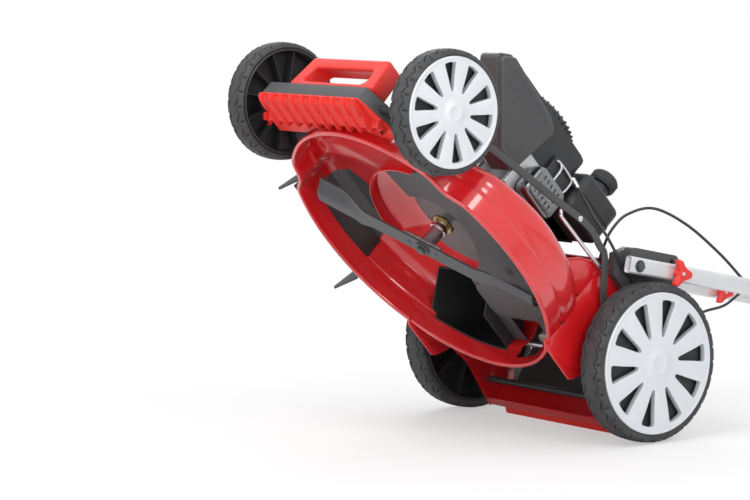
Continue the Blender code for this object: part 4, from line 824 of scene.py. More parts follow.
def tyre(key):
    wheel = WHEELS[key]
    r, w, cap_r = wheel["tyre_r"] * 1.002, wheel["width"], wheel["cap_r"]
    line = [(cap_r + 0.0004, 0.0034), (cap_r + 0.0012, 0.0014), (cap_r + 0.0035, 0.001),
            (r - 0.0075, 0.0016), (r - 0.0058, 0.0022), (r - 0.004, 0.0034), (r - 0.0024, 0.0052)]
    crown = []
    steps = 28
    for k in range(steps + 1):
        share = k / steps
        depth = 0.0068 + (w - 0.0136) * share
        crown.append((r - 0.0013 * abs(2 * share - 1) ** 2.2, depth))
    back = [(radius, w - depth) for radius, depth in reversed(line[3:])]
    inner = [(cap_r + 0.003, w - 0.0012), (cap_r + 0.0004, w - 0.003)]
    profile = line + crown + back + inner
    rings, marks = [], []
    for i in range(TYRE_SIDES):
        angle = 2 * math.pi * i / TYRE_SIDES
        ring = []
        for radius, depth in profile:
            cut = groove(angle, depth, wheel) if radius > r - 0.006 else 0.0
            # The square of the cut is kept as the groove attribute, which the rubber finish turns into
            # painted shade in the grooves.
            marks.append(cut ** 2)
            radius -= 0.003 * cut
            ring.append(Vector((wheel["outer"] - wheel["side"] * depth,
                                wheel["axis"].y + radius * math.cos(angle),
                                wheel["axis"].z + radius * math.sin(angle))))
        rings.append(ring)
    tread = woven(rings, True, True)
    # The groove attribute: painted shade that darkens the rubber where the tread is cut in.
    tread.attributes.new("groove", "FLOAT", "POINT").data.foreach_set("value", marks)
    return stand_in(key + "_tyre", key + "_tyre_tread", tread, 40)


for key in WHEELS:
    made = tyre(key)
print("tyre faces:", len(made.data.polygons))

# %% Rims
RIM_RIBS = 12


def rim(key):
    wheel = WHEELS[key]
    side, outer, cap_r, w = wheel["side"], wheel["outer"], wheel["cap_r"], wheel["width"]
    centre = Vector((0, wheel["axis"].y, wheel["axis"].z))

    def at(depth):
        return outer - side * depth

    bore = 0.0078 if key.startswith("rear") else 0.0063
    line = [(bore, at(0.009)), (0.02, at(0.009)), (0.021, at(0.01)), (0.0215, at(0.015)),
            (0.026, at(0.0165)), (cap_r - 0.012, at(0.0165)), (cap_r - 0.005, at(0.014)),
            (cap_r - 0.0036, at(0.0105)), (cap_r - 0.0036, at(0.0048)), (cap_r - 0.0001, at(0.0048)),
            (cap_r - 0.0001, at(w - 0.0012)), (cap_r - 0.0012, at(w)), (cap_r - 0.003, at(w)),
            (cap_r - 0.0036, at(w - 0.004)), (cap_r - 0.0075, at(0.023)), (cap_r - 0.013, at(0.0196)),
            (0.026, at(0.019)), (0.0222, at(0.021)), (0.0205, at(w - 0.0025)), (0.0195, at(w - 0.0012)),
            (0.013, at(w - 0.0012)), (0.012, at(w - 0.003)), (bore, at(w - 0.003))]
    low, high = sorted((at(0.018) - outer, at(w - 0.006) - outer))
    rib = slab((low, 0.0195, -0.0009), (high, cap_r - 0.0038, 0.0009))
    ribs = repeated(rib, RIM_RIBS, "black_plastic", (outer, centre.y, centre.z),
                    turn=(2 * math.pi / RIM_RIBS, 0, 0), start=(wheel["turn"] + 0.13, 0, 0))
    return stand_in(key + "_rim", key + "_rim_dish", joined(turned(line, "X", centre, 96), ribs))


for key in WHEELS:
    rim(key)
print("rims with %d ribs each" % RIM_RIBS)

# %% Hub caps
SPOKES = 10


def window_line(cap_r, turn):
    """One window between two spokes: narrow near the hub, wide outside, with round corners."""
    inner, outer = 0.375 * cap_r, 0.895 * cap_r
    step = 2 * math.pi / SPOKES
    points = []
    count = 14
    for sign in (-1, 1):
        for k in range(count + 1):
            share = k / count if sign < 0 else 1 - k / count
            radius = inner + (outer - inner) * (0.5 - 0.5 * math.cos(math.pi * share))
            spread = (0.105 + 0.17 * share) * step
            ends = (1 - abs(2 * share - 1) ** (5 if share > 0.5 else 3.2)) ** (1 / 2.4)
            points.append((radius, sign * (spread * ends)))
    return [(r * math.cos(turn + a), r * math.sin(turn + a)) for r, a in points]


def filled(outlines, half, bevel):
    """A plate with holes: flat curves that Blender fills, thickens and rounds."""
    data = bpy.data.curves.new("plate", "CURVE")
    data.dimensions = "2D"
    data.fill_mode = "BOTH"
    data.extrude = half - bevel
    data.bevel_depth = bevel
    data.bevel_resolution = 2
    data.offset = -bevel
    for outline in outlines:
        points = [p for i, p in enumerate(outline)
                  if (Vector(p) - Vector(outline[i - 1])).length > 0.0002]
        spline = data.splines.new("POLY")
        spline.points.add(len(points) - 1)
        for dot, (a, b) in zip(spline.points, points):
            dot.co = (a, b, 0, 1)
        spline.use_cyclic_u = True
    bench = set_out("bench", data)
    made = bpy.data.meshes.new_from_object(bench)
    bpy.data.objects.remove(bench)
    bm = bmesh.new()
    bm.from_mesh(made)
    bmesh.ops.remove_doubles(bm, verts=bm.verts, dist=0.00001)
    bmesh.ops.recalc_face_normals(bm, faces=bm.faces)
    bm.to_mesh(made)
    bm.free()
    return made


def hub_cap(key):
    wheel = WHEELS[key]
    side, outer, cap_r = wheel["side"], wheel["outer"], wheel["cap_r"]
    centre = Vector((0, wheel["axis"].y, wheel["axis"].z))
    depth = 0.0115
    step = 2 * math.pi / SPOKES
    outlines = [circle(cap_r - 0.0042, 96)]
    outlines += [window_line(cap_r, wheel["turn"] + step * i) for i in range(SPOKES)]
    face = filled(outlines, depth / 2, 0.0009)
    stand = Matrix(((0, 0, side, outer - side * (depth / 2 - 0.0002)), (1, 0, 0, centre.y),
                    (0, 1, 0, centre.z), (0, 0, 0, 1)))
    face.transform(stand)

    def at(out):
        return outer + side * out

    lip = [(cap_r - 0.006, at(-0.004)), (cap_r - 0.006, at(0.0004)), (cap_r - 0.0045, at(0.0012)),
           (cap_r - 0.002, at(0.001)), (cap_r - 0.0004, at(-0.0006)), (cap_r - 0.0002, at(-0.0044))]
    k = cap_r / 0.0927
    dome = [(0.0001, at(-0.002)), (0.0001, at(0.0031)), (0.0085 * k, at(0.0031)), (0.01 * k, at(0.0035)),
            (0.0112 * k, at(0.004)), (0.0128 * k, at(0.004)), (0.015 * k, at(0.0034)),
            (0.0185 * k, at(0.0018)), (0.0225 * k, at(0.0005)), (0.027 * k, at(0.0001)),
            (0.027 * k, at(-0.002))]
    whole = joined(face, turned(lip, "X", centre, 120), turned(dome, "X", centre, 96))
    return stand_in(key + "_hub_cap", key + "_cap_spokes", whole, 40)


for key in WHEELS:
    made = hub_cap(key)
print("hub cap faces:", len(made.data.polygons))

# %% [markdown]
# ## The cutting deck
# The deck is one sheet of pressed steel. Its outline is an oval with a pocket stepped in beside
# each front wheel, and each row below gives the sheet one height: how far it stands out from the
# oval, its height, and how much it runs down towards the front. The rows go up the outside from
# the rolled lip to the engine's seat and come back on the inside, one sheet thickness away.
# Under the sheet a baffle and its pressed slope lead the clippings round to the side port, and
# behind it two cheeks carry the deck's flanks back to the body.

# %% Deck outline
CRANK_Y = middle_of("belt_cover").y - ORIGIN.y
DECK_LEFT, DECK_RIGHT, DECK_REACH = 0.263, 0.2635, 0.283
DECK_WALL = 0.0025
RIM_Z, NOSE_DROP = 0.027, 0.04
DOME_R, DOME_TOP_Z, SHAFT_HOLE_R = 0.118, 0.165, 0.032
POCKET_X, POCKET_AHEAD, POCKET_START = 0.203, 0.16, -27.6
CORNERS = 40


def deck_spot(degrees, row, pocket=False):
    offset, own, height, drop = row
    turn = math.radians(degrees)
    away = DECK_LEFT if math.cos(turn) > 0 else DECK_RIGHT
    across = own or away + offset
    along = own or DECK_REACH + offset
    x, y = across * math.cos(turn), CRANK_Y + along * math.sin(turn)
    if pocket and not own and offset > -0.05:
        x = math.copysign(POCKET_X + offset, x)
        y = CRANK_Y - POCKET_AHEAD - offset / 2
    return spot(x, y, height - drop * NOSE_DROP * max(0.0, -math.sin(turn)) ** 1.4)


def deck_ring(row, steps=6):
    points = []
    for i in range(CORNERS):
        degrees = 360 / CORNERS * i
        pocket = degrees in (324, 216)
        if degrees == 333:
            degrees = POCKET_START
        if degrees == 207:
            degrees = 180 - POCKET_START
        points.append(deck_spot(degrees, row, pocket))
    return closed_curve(points, steps)


def deck_rows():
    lip = [(0.002, 0.0), (0.0044, 0.0008), (0.0058, 0.003), (0.005, 0.0052), (0.0026, 0.0064),
           (0.0003, 0.0069)]
    wall = [(0.001, 0.05, 0), (0.002, 0.0625, 0), (0.0021, 0.0655, 0.02), (0.0012, 0.0685, 0.04),
            (-0.0004, 0.0735, 0.08), (0.0026, 0.085, 0.2), (0.0035, 0.098, 0.6), (0.0026, 0.1085, 0.75),
            (0.0, 0.1178, 0.9), (-0.004, 0.1235, 0.95), (-0.0085, 0.1266, 0.98)]
    top = [(-0.0145, 0.128, 1.0), (-0.036, 0.1302, 0.75), (-0.06, 0.132, 0.5)]
    dome = [(DOME_R + 0.02, 0.135), (DOME_R + 0.006, 0.1352), (DOME_R + 0.0018, 0.1366), (DOME_R, 0.14),
            (DOME_R - 0.0004, 0.158), (DOME_R - 0.002, 0.1628), (DOME_R - 0.006, DOME_TOP_Z),
            (SHAFT_HOLE_R, DOME_TOP_Z)]
    rows = [(o, None, RIM_Z + z, 0) for o, z in lip]
    rows += [(o, None, z, d) for o, z, d in wall] + [(o, None, z, d) for o, z, d in top]
    rows += [(0, r, z, 0) for r, z in dome]
    rows += [(0, SHAFT_HOLE_R, DOME_TOP_Z - DECK_WALL, 0)]
    rows += [(0, r - 0.0008, z - DECK_WALL, 0) for r, z in dome[-2:-4:-1]]
    rows += [(0, r - DECK_WALL, z - 0.0012, 0) for r, z in dome[-4:-6:-1]]
    rows += [(0, r, z - DECK_WALL, 0) for r, z in dome[2::-1]]
    rows += [(o, None, z - DECK_WALL, d) for o, z, d in top[::-1]]
    rows += [(-0.0098, None, 0.1243, 0.98), (-0.006, None, 0.1217, 0.95), (-0.0025, None, 0.1168, 0.9)]
    rows += [(o - DECK_WALL, None, z, d) for o, z, d in wall[7::-1]]
    return rows + [(-0.0022, None, RIM_Z + 0.006, 0), (-0.0019, None, RIM_Z + 0.002, 0),
                   (-0.0004, None, RIM_Z + 0.0002, 0)]


print("deck sheet: %d rows of %d points" % (len(deck_rows()), len(deck_ring(deck_rows()[0]))))

# %% Deck
TUNNEL_CUT = ((-0.1653, -0.2003, 0.06), (-0.0137, -0.02, 0.17))
GEARBOX_CUT = ((0.022, -0.15, 0.048), (0.094, -0.02, 0.17))
BELT_CUT = ((-0.03, -0.258, 0.141), (0.062, -0.2, 0.1615))
PORT_OUTSIDE = -0.3135
SIDE_PORT = ((PORT_OUTSIDE, -0.452, 0.066), (-0.2335, -0.274, 0.11))
PORT_ROOF = [(PORT_OUTSIDE, -0.452), (-0.204, -0.452), (-0.204, -0.446), (-0.191, -0.397), (-0.189, -0.337),
             (-0.213, -0.309), (-0.262, -0.274), (PORT_OUTSIDE, -0.274)]
HINGE_X, HINGE_Z, HINGE_ROD_R = -0.178, 0.1425, 0.0025


def placed(made, matrix):
    made.transform(matrix)
    return made


def here(made):
    """A mesh that was drawn about the mower's own origin, moved to its place."""
    return placed(made, Matrix.Translation(ORIGIN))


def about_crank(degrees, radius):
    turn = math.radians(degrees)
    return radius * math.cos(turn), CRANK_Y + radius * math.sin(turn)


def baffle_radius(degrees):
    return 0.15 - 0.012 * (degrees + 72) / -118


def baffle():
    """The curved wall that leads the clippings round the cover to the side port."""
    inner, outer = [], []
    for k in range(49):
        degrees = -72 - 118 * k / 48
        inner.append(about_crank(degrees, baffle_radius(degrees)))
        outer.append(about_crank(degrees, baffle_radius(degrees) + DECK_WALL))
    return bevelled(pushed(inner + outer[::-1], "Z", 0.08, 0.1335), 0.0009, 2, 50)


def volute():
    """The pressed slope between the baffle and the cover's disc."""
    rings = []
    for k in range(49):
        degrees = -70 - 136 * k / 48
        far = baffle_radius(max(degrees, -190)) + 0.001
        fade = smooth(-206, -188, degrees)
        under = [(far, 0.101 + 0.025 * (1 - fade)), (far - 0.006, 0.1035 + 0.0228 * (1 - fade)),
                 (0.5 * (far + 0.09), 0.116 + 0.0105 * (1 - fade)), (0.096, 0.1258), (0.086, 0.1264),
                 (0.084, 0.1268)]
        ring = under + [(0.084, 0.1272), (far, 0.1272)]
        rings.append([spot(*about_crank(degrees, r), z) for r, z in ring])
    return woven(rings, caps=True)


def shoulder(side):
    """The pressed cheek that carries the deck's flank back to the body's side wall."""
    outer = 0.19
    low, high = sorted((side * (outer - 0.003), side * outer))
    brow = [(-0.165, 0.2), (-0.19, 0.1925), (-0.213, 0.178), (-0.234, 0.154), (-0.246, 0.1335)]
    foot = [(-0.164, 0.031), (-0.153, 0.0225), (-0.074, 0.0225), (-0.066, 0.03), (-0.053, 0.06)]
    parts = []
    for outline, inner in ((brow, [(-0.164, 0.1335)]), (foot, [(-0.1, 0.031)])):
        parts.append(bevelled(pushed(outline + inner, "X", low, high), 0.0008, 2, 30))
        parts.append(swept([spot(side * (outer - 0.001), a, b) for a, b in outline], 0.0024, 12))
    return joined(*parts)


def deck():
    sheet = woven([deck_ring(row) for row in deck_rows()], True, True)
    cuts = [here(slab(*box)) for box in (SIDE_PORT, TUNNEL_CUT, GEARBOX_CUT, BELT_CUT)]
    sheet = carved(sheet, *cuts, pushed(PORT_ROOF, "Z", 0.1, 0.15))
    low, high = SIDE_PORT[0][1] - 0.016, SIDE_PORT[1][1] + 0.034
    hinge = turned([(0, low - 0.003), (HINGE_ROD_R - 0.0005, low - 0.003), (HINGE_ROD_R, low - 0.0025),
                    (HINGE_ROD_R, high + 0.0025), (HINGE_ROD_R - 0.0005, high + 0.003), (0, high + 0.003)],
                   "Y", spot(HINGE_X, 0, HINGE_Z), 24)
    ears = []
    for y, foot in ((low - 0.0045, 0.1212), (high + 0.0005, 0.1306)):
        ear = [(HINGE_X - 0.003, HINGE_Z + 0.0048), (HINGE_X - 0.0052, HINGE_Z + 0.003),
               (HINGE_X - 0.008, foot - 0.0006), (HINGE_X + 0.008, foot + 0.0006),
               (HINGE_X + 0.0052, HINGE_Z + 0.003), (HINGE_X + 0.003, HINGE_Z + 0.0048)]
        ears.append(pushed(ear, "Y", y, y + 0.004))
    whole = joined(sheet, baffle(), volute(), shoulder(1), shoulder(-1), hinge, *ears)
    return stand_in("deck_shell", "deck_pressing", whole, 38)


made = deck()
print("deck faces:", len(made.data.polygons))

# %% Cover and guard under the deck
GUARD_Z = 0.088
GUARD_BORE = 0.078


def guard_outline():
    """In plan: round the shaft, out to the tunnel, round the deck's wall and back inside the baffle."""
    points = []
    edge = [(-105, GUARD_BORE), (30, GUARD_BORE), (70, 0.098), (97, 0.1285)]
    for (one, r0), (two, r1) in zip(edge, edge[1:]):
        steps = round((two - one) / 3)
        for k in range(steps):
            share = k / steps
            if r1 > r0:
                swell = share if r0 > GUARD_BORE else share * share * 0.35 + share * 0.65
            else:
                swell = 0
            points.append(about_crank(one + (two - one) * share, r0 + (r1 - r0) * swell))
    beside = TUNNEL_CUT[1][0]
    ring = [p - ORIGIN for p in deck_ring((-0.0024, None, 0, 0), 3)]
    wall = [(p.x, p.y) for p in ring if p.x > beside + 0.006 and p.y > CRANK_Y - 0.19]
    wall.sort(key=lambda p: -math.atan2(p[1] - CRANK_Y, p[0]))
    low, high, notch_y = GEARBOX_CUT[0][0], GEARBOX_CUT[1][0], -0.132
    first = [p for p in wall if p[0] < low]
    rest = [p for p in wall if p[0] > high]
    points += [(beside, -0.224), (beside, first[0][1])] + first
    points += [(low, first[-1][1]), (low, notch_y), (high, notch_y), (high, rest[0][1])]
    points += rest + [about_crank(-70, 0.1485)]
    return points + [about_crank(a, baffle_radius(a) - 0.0008) for a in range(-75, -106, -3)]


def guard():
    plate = filled([guard_outline()], 0.00125, 0.001)
    plate.transform(Matrix.Translation(spot(0, 0, GUARD_Z + 0.00125)))
    swelling = closed_curve([Vector((a, b, 0)) for a, b in
                             [(0.002, -0.222), (0.07, -0.232), (0.125, -0.215), (0.148, -0.178),
                              (0.122, -0.148), (0.06, -0.142), (0.004, -0.144), (-0.004, -0.18)]], 8)
    pad = filled([[(p.x, p.y) for p in swelling]], 0.006, 0.0056)
    parts = [plate, placed(pad, Matrix.Translation(spot(0, 0, GUARD_Z - 0.003)))]
    for degrees, radius in ((6, 0.16), (38, 0.15), (70, 0.16)):
        x, y = about_crank(degrees, radius)
        parts.append(rod(0.006, GUARD_Z + 0.002, 0.1309, "Z", spot(x, y, 0), 32))
        eyelet = [(0.0056, 0.0003), (0.0056, -0.0006), (0.0064, -0.0014), (0.0078, -0.0012),
                  (0.0088, 0.0004)]
        parts.append(turned([(r, GUARD_Z + h) for r, h in eyelet], "Z", spot(x, y, 0), 32))
    return stand_in("belt_guard", "guard_plate", joined(*parts))


def cover():
    z = 0.1275
    top = 0.1322
    dish = [(0.0165, z), (0.017, z - 0.0006), (0.03, z - 0.0008), (0.034, z), (DOME_R - 0.02, z),
            (DOME_R - 0.014, z + 0.0006), (DOME_R - 0.01, z + 0.0015), (DOME_R + 0.011, z + 0.0017),
            (DOME_R + 0.012, z + 0.0026), (DOME_R + 0.012, top), (DOME_R - 0.012, top),
            (DOME_R - 0.022, z + 0.0025), (0.0165, z + 0.0025)]
    return stand_in("belt_cover", "cover_disc", turned(dish, "Z", spot(0, CRANK_Y, 0), 128))


guard()
cover()
print("guard outline has %d points" % len(guard_outline()))

# %% [markdown]
# ## Blade
# The blade is a flat bar. Past the middle its back edge spreads and curls up into a wing that
# blows the clippings out, and its front edge is ground to a bevel near the tip. The skin is
# woven from cross-sections along the bar.

# %% Blade
BLADE_Z, BLADE_HALF, BLADE_WALL = 0.04, 0.236, 0.0032
BLADE_TURN = 0.508
SPIN = Matrix.Translation(spot(0, CRANK_Y, 0)) @ Matrix.Rotation(BLADE_TURN, 4, "Z")


def blade_section(share):
    """One closed cross-section at a share of the half length, front edge first."""
    away = abs(share)
    side = 1 if share > 0 else -1
    front = 0.018 + 0.0085 * smooth(0.46, 0.6, away) - 0.001 * smooth(0.9, 1.0, away)
    back = 0.018 + 0.009 * smooth(0.5, 0.66, away)
    lift = 0.016 * smooth(0.52, 0.8, away)
    ground = 0.0026 * smooth(0.6, 0.66, away)
    under, over = [], []
    for k in range(13):
        t = k / 12
        y = -front + (front + back) * t
        rise = lift * smooth(0.42, 1.0, t) ** 1.2
        bevel = ground * (1 - smooth(0.0, 0.13, t))
        under.append((y, rise + bevel))
        over.append((y, rise + BLADE_WALL))
    under[0] = (under[0][0], min(under[0][1], BLADE_WALL - 0.0003))
    ring = under + over[::-1] if side > 0 else under[::-1] + over
    return [SPIN @ Vector((share * BLADE_HALF, side * y, BLADE_Z + z)) for y, z in ring]


def blade():
    whole = woven([blade_section(k / 60 + 0.0001) for k in range(-60, 61)], caps=True)
    bore = placed(rod(0.0053, 0.02, 0.06, sides=32), SPIN)
    whole = carved(whole, bore)
    for x in (-0.0285, 0.0285):
        pin = [(0, BLADE_Z - 0.0014), (0.0022, BLADE_Z - 0.0014), (0.0032, BLADE_Z - 0.0006),
               (0.0034, BLADE_Z + 0.0006), (0, BLADE_Z + 0.0006)]
        whole = joined(whole, placed(turned(pin, "Z", Vector((x, 0, 0)), 24), SPIN))
    return stand_in("blade", "blade_winged", whole, 30)


made = blade()
print("blade faces:", len(made.data.polygons))

# %% Shaft, adapter and bolt
def hexagon(radius, low, high, place):
    """A six-sided head whose outer corners are turned off."""
    chamfer = 0.0006
    rings = []
    for z, r in ((low, radius - chamfer * 1.6), (low + chamfer, radius), (high, radius)):
        rings.append([place @ Vector((r * math.cos(a), r * math.sin(a), z))
                      for a in (math.pi / 3 * i for i in range(6))])
    return woven(rings, caps=True)


def crank_group():
    centre = spot(0, CRANK_Y, 0)
    stand_in("crankshaft", "shaft_ground", rod(0.0111, 0.06, 0.25, "Z", centre, 64))
    low = BLADE_Z + BLADE_WALL + 0.0003
    collar = [(0.0053, low), (0.0155, low), (0.016, low + 0.0015), (0.0138, low + 0.003), (0.0135, 0.082),
              (0.014, 0.0832), (0.0158, 0.0838), (0.0162, 0.0846), (0.0162, 0.0922), (0.0156, 0.093),
              (0.0115, 0.093), (0.0115, 0.06), (0.0053, 0.06)]
    plate = bevelled(placed(slab((-0.039, -0.02, low), (0.039, 0.02, low + 0.0042)), SPIN), 0.0008, 2, 30)
    rib = slab((-0.0007, -0.0204, low + 0.0002), (0.0007, -0.0196, low + 0.004))
    ribs = placed(repeated(rib, 30, "plain_steel", (-0.037, 0, 0), offset=(0.00255, 0, 0)), SPIN)
    other = placed(repeated(rib, 30, "plain_steel", (-0.037, 0.04, 0), offset=(0.00255, 0, 0)), SPIN)
    whole = joined(turned(collar, "Z", centre, 64), plate, ribs, other)
    stand_in("blade_adapter", "adapter_turned", whole)
    ring = [(0.0113, 0.0972), (0.02, 0.0972), (0.0208, 0.098), (0.0208, 0.102), (0.02, 0.1028),
            (0.0113, 0.1028)]
    piece("thrust_ring", turned(ring, "Z", centre, 64), "crank", "brass")
    lug = slab((0.019, -0.003, 0.0965), (0.0222, 0.003, 0.1035))
    lugs = placed(repeated(lug, 2, "dark_steel", (0, 0, 0), turn=(0, 0, math.pi), start=(0, 0, 0.15)), SPIN)
    piece("ring_lugs", lugs, "crank", "dark_steel")
    head = hexagon(0.0095, 0.031, 0.0372, SPIN)
    washer = [(0, 0.0371), (0.0136, 0.0371), (0.014, 0.0375), (0.014, BLADE_Z - 0.0003),
              (0, BLADE_Z - 0.0003)]
    shank = rod(0.005, 0.038, 0.055, "Z", centre, 24)
    stand_in("blade_bolt", "blade_bolt_hex", joined(head, turned(washer, "Z", centre, 48), shank))


crank_group()
softened("crank_pulley", 0.0006)
print("crank pieces made")

# %% [markdown]
# ## Front bumper
# Below the dark band the red moulding is a comb of upright ribs. Each rib steps back in waves,
# and between two ribs the moulding sags into a trough with a slot half way. Above the band the
# same moulding makes the carry handle, a deep loop that fits a hand.

# %% Comb and carry handle
BUMPER = {"shift": -0.0245, "front": 0.707, "kink": 0.1365, "half": 0.1675, "corner": 0.649}
TRIM_Z = (0.0513, 0.0765)
FRONT_PIVOT = (-0.668, 0.064)
COMB_BACK, RIB_BACK, RIB_COUNT = 0.616, 0.64, 12


def bumper_edge(x):
    """The bumper's front edge: straight in the middle, and slanting back past the kinks."""
    away = abs(x - BUMPER["shift"])
    share = max(0.0, (away - BUMPER["kink"]) / (BUMPER["half"] - BUMPER["kink"]))
    return -(BUMPER["front"] - share * (BUMPER["front"] - BUMPER["corner"]))


def rounded(corners, radius, steps=5):
    """A flat outline whose corners are arcs."""
    points = []
    for i, corner in enumerate(corners):
        at = Vector(corner)
        back = (Vector(corners[i - 1]) - at).normalized()
        ahead = (Vector(corners[(i + 1) % len(corners)]) - at).normalized()
        half = back.angle(ahead) / 2
        middle = at + (back + ahead).normalized() * (radius / math.sin(half))
        arm = at + back * (radius / math.tan(half)) - middle
        sweep = (math.pi - 2 * half) * (-1 if back.cross(ahead) > 0 else 1)
        for k in range(steps + 1):
            share = sweep * k / steps
            points.append((middle.x + arm.x * math.cos(share) - arm.y * math.sin(share),
                           middle.y + arm.x * math.sin(share) + arm.y * math.cos(share)))
    return points


def oblong(x0, y0, x1, y1, radius, steps=5):
    """A flat rectangle whose corners are arcs."""
    return rounded([(x0, y0), (x1, y0), (x1, y1), (x0, y1)], radius, steps)


def rib_tail(nose):
    """Where a rib that starts at nose ends."""
    return -max(COMB_BACK, min(RIB_BACK, -nose - 0.02))


def rib_line(nose, tail):
    """Side view of one rib: two waves with a notch between them."""
    mid = (nose + tail) / 2
    return [(nose + 0.001, 0.0505), (nose - 0.0035, 0.047), (nose - 0.0052, 0.0425), (nose - 0.003, 0.0385),
            (nose + 0.004, 0.0352), (mid - 0.012, 0.0336), (mid - 0.004, 0.0348), (mid - 0.001, 0.0385),
            (mid + 0.0012, 0.039), (mid + 0.0026, 0.0348), (mid + 0.008, 0.0332), (tail - 0.006, 0.0332),
            (tail - 0.001, 0.035), (tail, 0.038), (tail, 0.05)]


def trough(x0, x1):
    """The moulding between two ribs: it sags, ends on a slant and has a slot half way."""
    rings = []
    nose = max(bumper_edge(x0), bumper_edge(x1))
    tail = rib_tail(nose)
    mid = (nose + tail) / 2
    steps = 22
    for j in range(steps + 1):
        ring = []
        for i in range(9):
            s = i / 8
            end = tail - 0.009 * (1 - s)
            y = nose + 0.0008 + (end - nose - 0.0008) * j / steps
            z = 0.0478 - 0.0085 * smooth(nose, nose + 0.012, y) - 0.0012 * smooth(mid, tail, y)
            z += 0.005 * math.sin(math.pi * s) ** 0.8
            slot = (1 - smooth(0.0012, 0.003, abs(y - mid))) * (1 - smooth(0.16, 0.3, abs(s - 0.62)))
            ring.append(spot(x0 + (x1 - x0) * s, y, min(0.0505, z + 0.0085 * slot)))
        over = [spot(x1, ring[-1].y - ORIGIN.y, 0.0509), spot(x0, ring[0].y - ORIGIN.y, 0.0509)]
        rings.append(ring + over)
    return woven(rings, caps=True)


def bumper():
    ends = (BUMPER["shift"] - BUMPER["half"], BUMPER["shift"] + BUMPER["half"])
    kinks = (BUMPER["shift"] - BUMPER["kink"], BUMPER["shift"] + BUMPER["kink"])
    xs = (ends[0], kinks[0], kinks[1], ends[1])
    front = [(x, bumper_edge(x)) for x in xs]

    def wall_y(x):
        share = min(0.99, abs(x) / (DECK_LEFT + 0.0007))
        return min(-COMB_BACK, CRANK_Y - (DECK_REACH + 0.003) * math.sqrt(1 - share * share))

    backs = [ends[1] - (ends[1] - ends[0]) * k / 24 for k in range(25)]
    parts = [pushed(front + [(x, wall_y(x)) for x in backs], "Z", 0.0485, 0.051)]
    pitch = 2 * (BUMPER["half"] - 0.0055) / (RIB_COUNT - 1)
    places = [BUMPER["shift"] + (k - (RIB_COUNT - 1) / 2) * pitch for k in range(RIB_COUNT)]
    for x in places:
        nose = bumper_edge(x)
        tail = rib_tail(nose)
        parts.append(bevelled(pushed(rib_line(nose, tail), "X", x - 0.0011, x + 0.0011), 0.0005, 2, 60))
    parts += [trough(one, two) for one, two in zip(places, places[1:])]
    y, z = FRONT_PIVOT
    bore = rod(0.0062, -0.3, 0.3, "X", spot(0, y, z), 40)
    for x in (-0.14, 0.105):
        ear = oblong(y - 0.012, 0.049, y + 0.012, z + 0.011, 0.005)
        parts.append(carved(pushed(ear, "X", x - 0.004, x + 0.004), bore))
    foot, top = TRIM_Z[1] + 0.0003, 0.146
    loop = rounded([(-0.117, foot), (0.117, foot), (0.106, top), (-0.106, top)], 0.0075)
    gap = rounded([(-0.092, 0.088), (0.092, 0.088), (0.083, 0.1225), (-0.083, 0.1225)], 0.013, 8)
    depth = (-BUMPER["front"] + 0.003, -BUMPER["front"] + 0.043)
    handle = filled([loop, gap], (depth[1] - depth[0]) / 2, 0.0048)
    ways = [(depth[0] + 0.006, 0.0, 1.0), (depth[0] + 0.014, 0.0045, 1.0), (depth[0] + 0.024, 0.011, 1.02),
            (depth[1] + 0.001, 0.015, 1.05)]
    scoop = [[Vector((x * wide, y, z + rise * (z - 0.088) / 0.0345))
              for x, z in gap] for y, rise, wide in ways]
    scoop = woven(scoop, caps=True)
    stand = Matrix(((1, 0, 0, ORIGIN.x), (0, 0, -1, ORIGIN.y + sum(depth) / 2), (0, 1, 0, 0), (0, 0, 0, 1)))
    shelf = (-0.115, depth[1] - 0.002, foot), (0.115, -0.632, foot + 0.0065)
    neck = (-0.1, -BUMPER["front"] + 0.0093, 0.05), (0.1, depth[0] + 0.021, foot + 0.0017)
    parts += [carved(placed(handle, stand), here(scoop)), here(slab(*shelf)), here(slab(*neck))]
    return stand_in("front_bumper", "bumper_moulding", joined(*parts), 40)


made = bumper()
softened("bumper_trim", 0.0014, 3)
print("bumper faces:", len(made.data.polygons))

# %% [markdown]
# ## Bodywork and running gear
# These solids have their shape already, and only need the rounded edges of a pressing or a
# moulding. The belt, its driven pulley and the axles belong to them too. The height link is cut
# anew as one flat bar along a line, with its screws and a plated rod.

# %% Bodywork
for node, width in (("discharge_tunnel", 0.0009), ("rear_body", 0.001), ("rear_door", 0.0011),
                    ("rear_skirt", 0.001), ("side_flap", 0.001), ("front_axle", 0.0012),
                    ("rear_axle_frame", 0.0012), ("drive_axle", 0.001), ("gearbox_pulley", 0.0005),
                    ("drive_belt", 0.001), ("handle_bracket_left", 0.0018),
                    ("handle_bracket_right", 0.0018), ("height_lever", 0.001)):
    softened(node, width, 3)
print("bodywork softened")

# %% Height link
LINK_X = 0.2023


def side_view(points):
    """World points as (y, z) in the mower's coordinates."""
    return [((p - ORIGIN).y, p.z) for p in points]


def ribbon(points, half):
    """The outline of a flat bar along a line of points, with round ends."""
    left, right = [], []
    for i, point in enumerate(points):
        ahead = points[min(i + 1, len(points) - 1)] - points[max(i - 1, 0)]
        normal = Vector((-ahead.y, ahead.x)).normalized() * half
        left.append(point + normal)
        right.append(point - normal)
    out = []
    for centre, start, finish in ((points[-1], left[-1], right[-1]), (points[0], right[0], left[0])):
        arm = start - centre
        out.append([centre + Matrix.Rotation(-math.pi * k / 10, 2) @ arm for k in range(11)])
    return [tuple(p) for p in left[1:-1] + out[0] + right[-2:0:-1] + out[1]]


